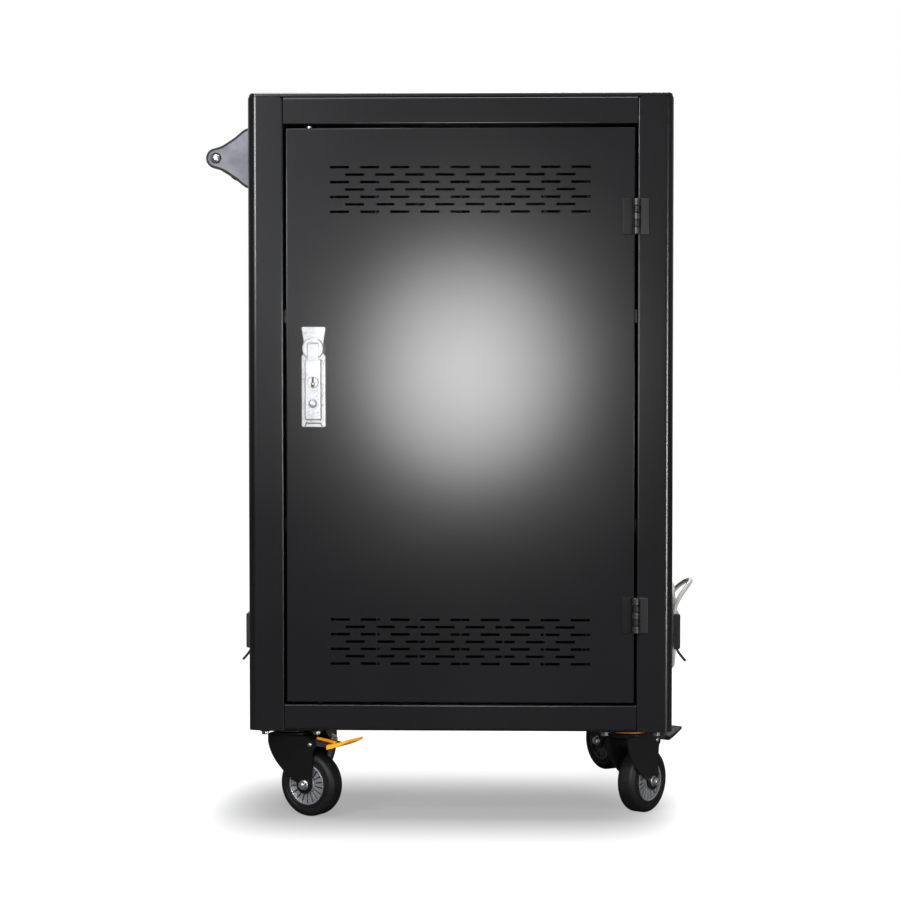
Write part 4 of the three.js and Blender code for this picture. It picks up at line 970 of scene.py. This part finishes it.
def brakePedal(node, stand):
    s = pedalShape
    along = stand.to_3x3() @ Vector((1, 0, 0))
    split = stand @ Vector((s["tread"] / 1000, 0, 0))
    halves = []
    for inner in (True, False):
        piece = nodeCopy(node)
        startEdit(piece)
        bpy.ops.mesh.select_all(action="SELECT")
        bpy.ops.mesh.bisect(plane_co=split, plane_no=along, clear_inner=inner, clear_outer=not inner)
        bpy.ops.mesh.select_mode(type="EDGE")
        bpy.ops.mesh.select_all(action="DESELECT")
        bpy.ops.mesh.select_non_manifold(extend=False)
        bpy.ops.mesh.edge_face_add()
        endEdit()
        easeEdges(piece, 0.5, 2)
        smooth(piece, 40)
        halves.append(piece)
    length, r = s["tread"] - s["start"] + 3, s["barrel"]
    profile = [(0, 0), (r - 0.6, 0), (r, 0.6), (r, length - 0.6), (r - 0.6, length), (0, length)]
    barrel = turnProfile(profile, 28)
    moveInto(barrel, stand @ facing((length, 0, s["fall"]), (s["start"] / 1000, 0, s["rise"] / 1000)))
    smooth(barrel, 40)
    return joinAll([halves[0], barrel]), halves[1]


tyreMaster, hubMaster, forkMaster, raceMaster = tyre(), hub(), fork(), swivelRace()
nutMaster, boltMaster = hexHead(**nutShape), hexHead(**boltShape)
rivetMaster, ringMaster = domeHead(**rivetShape), dustRing()
axleLift = Matrix.Translation((casterShape["trail"] / 1000, 0, casterShape["wheel"] / 1000))
wheelTurn = axleLift @ Matrix.Rotation(math.pi / 2, 4, "X")

for corner in ("front_left", "front_right", "rear_left", "rear_right"):
    swivel = Vector(jointNamed["swivel_" + corner]["pos_m"])
    axle = Vector(jointNamed["roll_" + corner]["pos_m"])
    swivel.z = 0
    angle = math.atan2(axle.y - swivel.y, axle.x - swivel.x)
    stand = Matrix.Translation(swivel) @ Matrix.Rotation(angle, 4, "Z")
    wheelBody, forkBody, pedalBody = "wheel_" + corner, "caster_" + corner, "pedal_" + corner
    tyrePiece, hubPiece = copyOf(tyreMaster, stand @ wheelTurn), copyOf(hubMaster, stand @ wheelTurn)
    # the rear hubs take the darker hub finish: painted shade
    hubFinish = hubPlastic if corner.startswith("front") else hubPaintedShade
    settle(tyrePiece, "tyre_" + corner, wheelBody, tyreRubber, "tyre_rubber", "wheel_tyre_" + corner)
    settle(hubPiece, "hub_" + corner, wheelBody, hubFinish, "hub_grey", "wheel_hub_" + corner)
    forkPiece = joinAll([copyOf(forkMaster, stand), copyOf(raceMaster, stand)])
    settle(forkPiece, "fork_" + corner, forkBody, enamelBlack, "black_steel", "caster_fork_" + corner)
    metal = []
    for side in (-1, 1):
        for master, x, z in ((nutMaster, "trail", "wheel"), (rivetMaster, "pin", "pinRise")):
            spot = Vector((casterShape[x], side * casterShape["legOut"], casterShape[z])) / 1000
            metal.append(copyOf(master, stand @ facing((0, side, 0), spot)))
    settle(joinAll(metal), "axle_nuts_" + corner, forkBody, zincPlate, "zinc_steel")
    bolts = []
    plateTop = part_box("caster_plate_" + corner)[1][2]
    for x in (-boltPlace["across"], boltPlace["across"]):
        for y in (-boltPlace["along"], boltPlace["along"]):
            spot = swivel + Vector((x / 1000, y / 1000, plateTop - boltPlace["sink"] / 1000))
            bolts.append(copyOf(boltMaster, facing((0, 0, -1), spot)))
    settle(joinAll(bolts), "plate_bolts_" + corner, "cabinet", boltSteel, "zinc_steel")
    ringFinish = ringOrange if corner == "front_right" else plasticBlack
    ringSlot = "orange_plastic" if corner == "front_right" else "black_plastic"
    ringPlace = Matrix.Translation((swivel.x, swivel.y, ringShape["rise"] / 1000))
    settle(copyOf(ringMaster, ringPlace), "dust_ring_" + corner, "cabinet", ringFinish, ringSlot)
    if corner == "front_left":
        node = "brake_pedal_" + corner
        treadPiece, armPiece = brakePedal(node, stand)
        settle(treadPiece, "pedal_tread_" + corner, pedalBody, plasticOrange, "orange_plastic", node)
        settle(armPiece, "pedal_arm_" + corner, pedalBody, plasticBlack, "black_plastic")
discard(tyreMaster, hubMaster, forkMaster, raceMaster, nutMaster, boltMaster, rivetMaster, ringMaster)
print("casters made")

# Push handle screws
screwShape = {"front": -160.6, "rear": 140.6, "cup": 8.6, "head": 5.6, "slit": (6.2, 1.1, 3), "turn": 0.5}


def crossScrew():
    r = screwShape["head"]
    head = turnProfile([(0, 0), (r, 0), (r, 0.9), (r - 1, 2.0), (2.4, 2.6), (0, 2.7)], 32)
    for turn in (0, math.pi / 2):
        deselectAll()
        bpy.ops.mesh.primitive_cube_add(size=1)
        slit = bpy.context.object
        slit.scale = [length / 1000 for length in screwShape["slit"]]
        slit.location = (0, 0, 0.003)
        slit.rotation_euler = (0, 0, turn + screwShape["turn"])
        bpy.ops.object.transform_apply(location=True, rotation=True, scale=True)
        cutAway(head, slit)
    smooth(head, 35)
    return head


def screwCup():
    r = screwShape["cup"]
    cup = turnProfile([(5.8, 0), (r, 0), (r, 0.5), (r - 0.6, 0.9), (6.6, 0.9), (5.8, 0.2), (5.8, 0)], 40)
    smooth(cup, 35)
    return cup


cupMaster, screwMaster = screwCup(), crossScrew()
for side, outward in (("front", -1), ("rear", 1)):
    spot = facing((0, outward, 0), mm(bracketShape["middle"][0], screwShape[side], bracketShape["middle"][1]))
    settle(copyOf(cupMaster, spot), "handle_cup_" + side, "cabinet", enamelBlack, "black_plastic")
    settle(copyOf(screwMaster, spot), "handle_screw_" + side, "cabinet", zincPlate, "zinc_steel")
discard(cupMaster, screwMaster)
print("handle screws made")

# Floor, light and backdrop; the floor glows white to the camera, with a painted shadow under the cart where that
# glow is lowered in a soft patch
# shade, middle, reach and core set the painted shadow under the cart
floorTone = {
    "bounce": 0.55, "mirrored": 0.07, "seen": 0.12,
    "shade": 0.63, "middle": (-8, -136), "reach": (395, 400), "core": 0.15,
}

deselectAll()
bpy.ops.mesh.primitive_plane_add(size=30, location=(0, 0, 0))
floor = bpy.context.object
floor.name = "studio_floor"
floorFinish = Finish("studio_floor", Roughness=0.9, Specular_IOR_Level=0.0, Emission_Strength=1.0)
seen = floorFinish.node("LightPath", None, None, "Is Camera Ray")
mirrored = floorFinish.node("LightPath", None, None, "Is Glossy Ray")
sideward, forward = (floorFinish.node("SeparateXYZ", None, {0: floorFinish.place()}, axis) for axis in "XY")
across = (sideward - floorTone["middle"][0] / 1000) * (1000 / floorTone["reach"][0])
along = (forward - floorTone["middle"][1] / 1000) * (1000 / floorTone["reach"][1])
squared = across * across
away = floorFinish.node("CombineXYZ", None, {0: squared * squared, 1: along})
distance = floorFinish.node("VectorMath", {"operation": "LENGTH"}, {0: away}, "Value")
# painted shadow: the floor's glow to the camera is lowered in a soft ellipse under the cart
shade = floorTone["shade"] * (1 - floorFinish.ramp(distance, floorTone["core"], 1))
tone = floorTone["bounce"] + mirrored * (floorTone["mirrored"] - floorTone["bounce"])
tone = tone + seen * (floorTone["seen"] - floorTone["bounce"])
floorFinish.feed("Base Color", floorFinish.tint(tone, (0, 0, 0), (1, 1, 1)))
floorFinish.feed("Emission Color", floorFinish.tint(seen * (1 - shade), (0, 0, 0), (1, 1, 1)))
floor.data.materials.append(floorFinish.material)

lampTint = {"left_box": (0.93, 0.95, 1.0), "upper_box": (0.93, 0.95, 1.0)}
lamps = {
    "front_box": {"place": (-16, -1460, 684), "aim": (-16, -260, 684), "size": (400, 440), "power": 7.2},
    "front_core": {"place": (-16, -1462, 684), "aim": (-16, -260, 684), "size": (200, 220), "power": 1.2},
    "left_box": {"place": (-1437, -3040, 1300), "aim": (-313, -260, 900), "size": (500, 600), "power": 44},
    "right_box": {"place": (2300, -2520, 260), "aim": (300, -260, 420), "size": (260, 1200), "power": 54},
    "upper_box": {"place": (-1100, -2500, 2900), "aim": (-150, -260, 1050), "size": (500, 400), "power": 50},
    "rear_box": {"place": (300, 2700, 2500), "aim": (0, 260, 500), "size": (1600, 1200), "power": 60},
    "top_box": {"place": (0, 250, 3400), "aim": (0, 100, 0), "size": (2600, 2200), "power": 170},
}
for name, lamp in lamps.items():
    bpy.ops.object.light_add(type="AREA", location=mm(*lamp["place"]))
    light = bpy.context.object
    light.name = name
    light.rotation_euler = (mm(*lamp["aim"]) - light.location).to_track_quat("-Z", "Y").to_euler()
    light.data.shape = "ELLIPSE" if name.startswith("front") else "RECTANGLE"
    light.data.size, light.data.size_y = (side / 1000 for side in lamp["size"])
    light.data.energy = lamp["power"]
    light.data.color = lampTint.get(name, (1, 1, 1))

# White behind the cart; in front, brightest at the upper left
skyTone = {"left": 0.44, "upper": 0.22, "back": 0.3, "farBack": 0.9, "soft": 0.12, "softBack": 0.7}
world = bpy.data.worlds.new("studio")
bpy.context.scene.world = world
world.use_nodes = True
skyTree = Finish.__new__(Finish)
skyTree.tree = world.node_tree
skyTree.tree.nodes.clear()
seen, through, glossy = (
    skyTree.node("LightPath", None, None, f"Is {kind} Ray") for kind in ("Camera", "Transmission", "Glossy")
)
direct = seen + through
heading = skyTree.node("TexCoord", None, None, "Generated")
rightward, rearward, upward = (skyTree.node("SeparateXYZ", None, {0: heading}, axis) for axis in "XYZ")
behind = skyTree.ramp(rearward, -0.35, 0.6)
leftBand = skyTree.ramp(rightward, -0.8, -0.4) * (1 - skyTree.ramp(rightward, -0.16, 0.1))
front = skyTone["left"] * leftBand + skyTone["upper"] * skyTree.ramp(upward, -0.04, 0.14)
mirror = front * (1 - behind) + behind * skyTone["back"]
mirror = mirror + skyTree.ramp(rearward, 0.5, 0.95) * (skyTone["farBack"] - skyTone["back"])
soft = skyTone["soft"] + skyTree.ramp(rearward, 0.1, 0.8) * (skyTone["softBack"] - skyTone["soft"])
brightness = direct + (1 - direct) * (glossy * mirror + (1 - glossy) * soft)
shade = skyTree.tint(brightness, (0, 0, 0), (1, 1, 1))
sky = skyTree.node("Background", None, {"Color": shade, "Strength": 1})
skyTree.node("OutputWorld", None, {"Surface": sky}, None)
bpy.context.scene.view_settings.view_transform = "Standard"
print("studio lit")

deselectAll()
